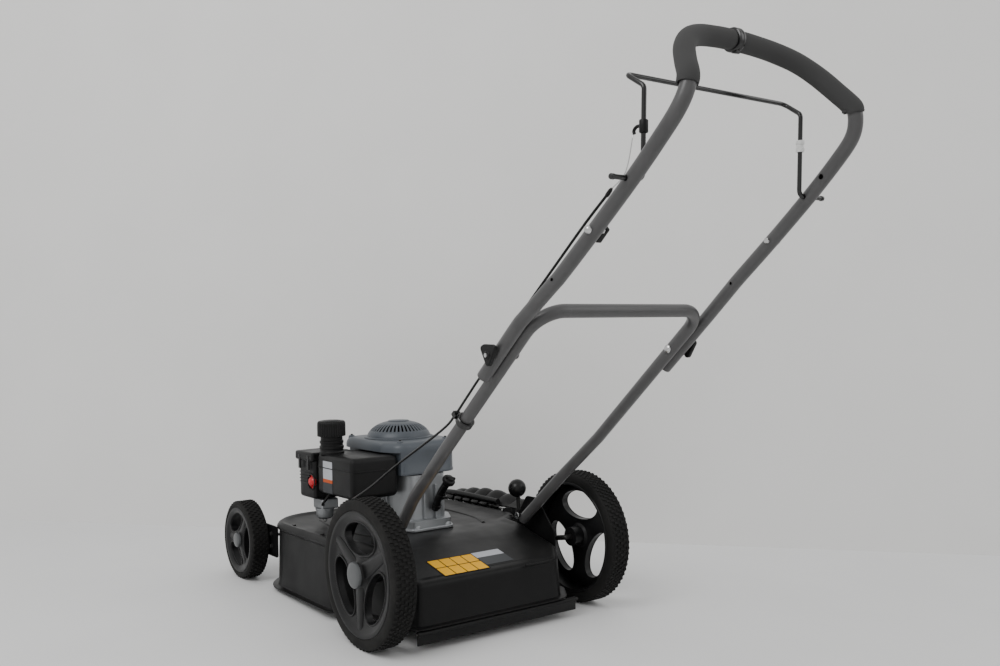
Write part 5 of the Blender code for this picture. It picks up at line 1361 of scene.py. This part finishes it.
def stage_paint(name, colour, one_sided=False):
    """Matte paint with a slow drift. A one-sided coat shows only from its front, and only to the camera."""
    paint = bpy.data.materials.new(name)
    paint.use_nodes = True
    tree = paint.node_tree
    shader = tree.nodes["Principled BSDF"]
    texture = tree.nodes.new("ShaderNodeGroup")
    texture.node_tree = grain_group()
    texture.inputs["Scale"].default_value = 160.0
    ramp = tree.nodes.new("ShaderNodeMix")
    ramp.data_type = "RGBA"
    tree.links.new(texture.outputs["Drift"], ramp.inputs["Factor"])
    ramp.inputs[6].default_value = (*(c * 0.97 for c in colour), 1.0)
    ramp.inputs[7].default_value = (*colour, 1.0)
    tree.links.new(ramp.outputs[2], shader.inputs["Base Color"])
    shader.inputs["Roughness"].default_value = 0.7
    shader.inputs["Specular IOR Level"].default_value = 0.2
    if one_sided:
        back = tree.nodes.new("ShaderNodeNewGeometry").outputs["Backfacing"]
        seen = math_node(tree, "SUBTRACT", tree.nodes.new("ShaderNodeLightPath").outputs["Is Camera Ray"], back)
        mix = tree.nodes.new("ShaderNodeMixShader")
        tree.links.new(seen, mix.inputs["Fac"])
        tree.links.new(tree.nodes.new("ShaderNodeBsdfTransparent").outputs["BSDF"], mix.inputs[1])
        tree.links.new(shader.outputs["BSDF"], mix.inputs[2])
        tree.links.new(mix.outputs["Shader"], tree.nodes["Material Output"].inputs["Surface"])
    return paint


def build_stage(settings):
    """Floor, background wall, soft lights and camera."""
    floor_mesh = bmesh.new()
    bmesh.ops.create_circle(floor_mesh, cap_ends=True, segments=96, radius=9.0)
    floor = from_bmesh("floor", floor_mesh)
    floor.data.materials.append(stage_paint("floor paint", settings.floor_colour))
    # A pale wall stands just past the front right wheel, and shows only from the mower's side.
    left, right = Vector((-0.5443, 1.7080, 0)), Vector((1.4448, -0.3111, 0))
    half_width, tall = 7.0, Vector((0, 0, 5.0))
    along = (right - left).normalized() * half_width
    middle = (left + right) / 2
    wall_mesh = bmesh.new()
    corners = [middle - along, middle + along, middle + along + tall, middle - along + tall]
    wall_mesh.faces.new([wall_mesh.verts.new(corner) for corner in corners])
    wall = from_bmesh("wall", wall_mesh)
    wall.data.materials.append(stage_paint("wall paint", settings.wall_colour, True))

    world = bpy.data.worlds.new("soft room")
    world.use_nodes = True
    background = world.node_tree.nodes["Background"]
    background.inputs["Color"].default_value = (1.0, 1.0, 0.99, 1.0)
    background.inputs["Strength"].default_value = 0.88
    bpy.context.scene.world = world

    def softbox(name, location, aim, size, power):
        light = bpy.data.lights.new(name, "AREA")
        light.shape = "DISK"
        light.size = size
        light.energy = power
        obj = new_object(name, light)
        obj.location = location
        obj.rotation_euler = (Vector(aim) - Vector(location)).to_track_quat("-Z", "Y").to_euler()

    softbox("key_softbox", (-2.6, -0.6, 3.0), (0.0, 0.0, 0.4), 2.2, 60.0)
    softbox("fill_softbox", (2.2, -2.6, 2.4), (0.0, 0.1, 0.4), 2.4, 18.0)

    lens = bpy.data.cameras.new("camera")
    lens.lens = settings.lens
    lens.sensor_width = 36.0
    camera = new_object("camera", lens)
    camera.location = CAMERA_PLACE
    camera.rotation_euler = (CAMERA_TILT, 0.0, CAMERA_TURN)
    bpy.context.scene.camera = camera


# ---------------------------------------------------------------- add-on

class MOWER_OT_stage(bpy.types.Operator):
    """Lay the floor, hang the soft lights and place the camera"""
    bl_idname = "mower.stage"
    bl_label = "Stage"
    bl_options = {"REGISTER", "UNDO"}

    def execute(self, context):
        build_stage(context.scene.mower_stage)
        return {"FINISHED"}


class MOWER_OT_cable(bpy.types.Operator):
    """Route the brake cable and its clips"""
    bl_idname = "mower.cable"
    bl_label = "Brake cable"
    bl_options = {"REGISTER", "UNDO"}

    def execute(self, context):
        build_cable()
        return {"FINISHED"}


class MOWER_OT_wheels(bpy.types.Operator):
    """Fit treaded tyres, moulded wheels and hub caps"""
    bl_idname = "mower.wheels"
    bl_label = "Wheels"
    bl_options = {"REGISTER", "UNDO"}

    def execute(self, context):
        build_wheels(context.scene.mower_wheels)
        return {"FINISHED"}


class MOWER_OT_deck(bpy.types.Operator):
    """Press the deck shell with its ribs and bolts"""
    bl_idname = "mower.deck"
    bl_label = "Deck"
    bl_options = {"REGISTER", "UNDO"}

    def execute(self, context):
        build_deck(context.scene.mower_deck)
        return {"FINISHED"}


class MOWER_OT_labels(bpy.types.Operator):
    """Lay plain stickers on the deck and the tank"""
    bl_idname = "mower.labels"
    bl_label = "Labels"
    bl_options = {"REGISTER", "UNDO"}

    def execute(self, context):
        build_labels()
        return {"FINISHED"}


class MOWER_OT_deflector(bpy.types.Operator):
    """Hang the lobed discharge flap on its rod"""
    bl_idname = "mower.deflector"
    bl_label = "Discharge flap"
    bl_options = {"REGISTER", "UNDO"}

    def execute(self, context):
        build_deflector(context.scene.mower_deck)
        return {"FINISHED"}


class MOWER_OT_handles(bpy.types.Operator):
    """Bend the upper and lower handle tubes"""
    bl_idname = "mower.handles"
    bl_label = "Handle tubes"
    bl_options = {"REGISTER", "UNDO"}

    def execute(self, context):
        build_handles(context.scene.mower_handle)
        return {"FINISHED"}


class MOWER_OT_grips(bpy.types.Operator):
    """Slide the foam sleeves over the handle"""
    bl_idname = "mower.grips"
    bl_label = "Foam grips"
    bl_options = {"REGISTER", "UNDO"}

    def execute(self, context):
        build_grips(context.scene.mower_handle)
        return {"FINISHED"}


class MOWER_OT_bail(bpy.types.Operator):
    """Fit the engine brake bail and its clips"""
    bl_idname = "mower.bail"
    bl_label = "Bail"
    bl_options = {"REGISTER", "UNDO"}

    def execute(self, context):
        build_bail()
        return {"FINISHED"}


class MOWER_OT_fasteners(bpy.types.Operator):
    """Fit the wing knobs and the handle bolts"""
    bl_idname = "mower.fasteners"
    bl_label = "Handle fasteners"
    bl_options = {"REGISTER", "UNDO"}

    def execute(self, context):
        build_fasteners()
        return {"FINISHED"}


class MOWER_OT_shroud(bpy.types.Operator):
    """Fit the blower housing over the flywheel"""
    bl_idname = "mower.shroud"
    bl_label = "Blower housing"
    bl_options = {"REGISTER", "UNDO"}

    def execute(self, context):
        build_shroud()
        return {"FINISHED"}


class MOWER_OT_recoil(bpy.types.Operator):
    """Fit the slotted dome and the starter grip"""
    bl_idname = "mower.recoil"
    bl_label = "Recoil cover"
    bl_options = {"REGISTER", "UNDO"}

    def execute(self, context):
        build_recoil(context.scene.mower_engine)
        return {"FINISHED"}


class MOWER_OT_tank(bpy.types.Operator):
    """Fit the fuel tank and its ribbed cap"""
    bl_idname = "mower.tank"
    bl_label = "Fuel tank"
    bl_options = {"REGISTER", "UNDO"}

    def execute(self, context):
        build_tank(context.scene.mower_engine)
        return {"FINISHED"}


class MOWER_OT_intake(bpy.types.Operator):
    """Fit the air filter, the primer and the carburettor"""
    bl_idname = "mower.intake"
    bl_label = "Intake"
    bl_options = {"REGISTER", "UNDO"}

    def execute(self, context):
        build_intake()
        return {"FINISHED"}


class MOWER_OT_block(bpy.types.Operator):
    """Finish the castings, the muffler and the oil filler"""
    bl_idname = "mower.block"
    bl_label = "Engine block"
    bl_options = {"REGISTER", "UNDO"}

    def execute(self, context):
        build_block()
        return {"FINISHED"}


class MOWER_OT_gear(bpy.types.Operator):
    """Finish the axles, the brackets, the lever and the blade"""
    bl_idname = "mower.gear"
    bl_label = "Running gear"
    bl_options = {"REGISTER", "UNDO"}

    def execute(self, context):
        build_running_gear()
        return {"FINISHED"}


OPERATORS = (MOWER_OT_stage, MOWER_OT_cable, MOWER_OT_wheels, MOWER_OT_deck, MOWER_OT_labels,
             MOWER_OT_deflector, MOWER_OT_handles, MOWER_OT_grips, MOWER_OT_bail, MOWER_OT_fasteners,
             MOWER_OT_shroud, MOWER_OT_recoil, MOWER_OT_tank, MOWER_OT_intake, MOWER_OT_block,
             MOWER_OT_gear)
GROUPS = {"mower_wheels": MowerWheelSettings, "mower_handle": MowerHandleSettings,
          "mower_engine": MowerEngineSettings, "mower_deck": MowerDeckSettings, "mower_stage": MowerStageSettings}


class MOWER_PT_panel(bpy.types.Panel):
    """Lists the mower's settings and the steps that build it"""
    bl_label = "Rotary Mower"
    bl_idname = "MOWER_PT_panel"
    bl_space_type = "VIEW_3D"
    bl_region_type = "UI"
    bl_category = "Mower"

    def draw(self, context):
        for name, group_class in GROUPS.items():
            column = self.layout.column(heading=name)
            for field in group_class.__annotations__:
                column.prop(getattr(context.scene, name), field)
        for operator in OPERATORS:
            self.layout.operator(operator.bl_idname)


def register():
    for name, group_class in GROUPS.items():
        bpy.utils.register_class(group_class)
        setattr(bpy.types.Scene, name, bpy.props.PointerProperty(type=group_class))
    for operator in OPERATORS:
        bpy.utils.register_class(operator)
    bpy.utils.register_class(MOWER_PT_panel)


def unregister():
    bpy.utils.unregister_class(MOWER_PT_panel)
    for operator in reversed(OPERATORS):
        bpy.utils.unregister_class(operator)
    for name, group_class in GROUPS.items():
        delattr(bpy.types.Scene, name)
        bpy.utils.unregister_class(group_class)


def main():
    register()
    for operator in OPERATORS:
        getattr(bpy.ops.mower, operator.bl_idname.partition(".")[2])()


if __name__ == "__main__":
    main()
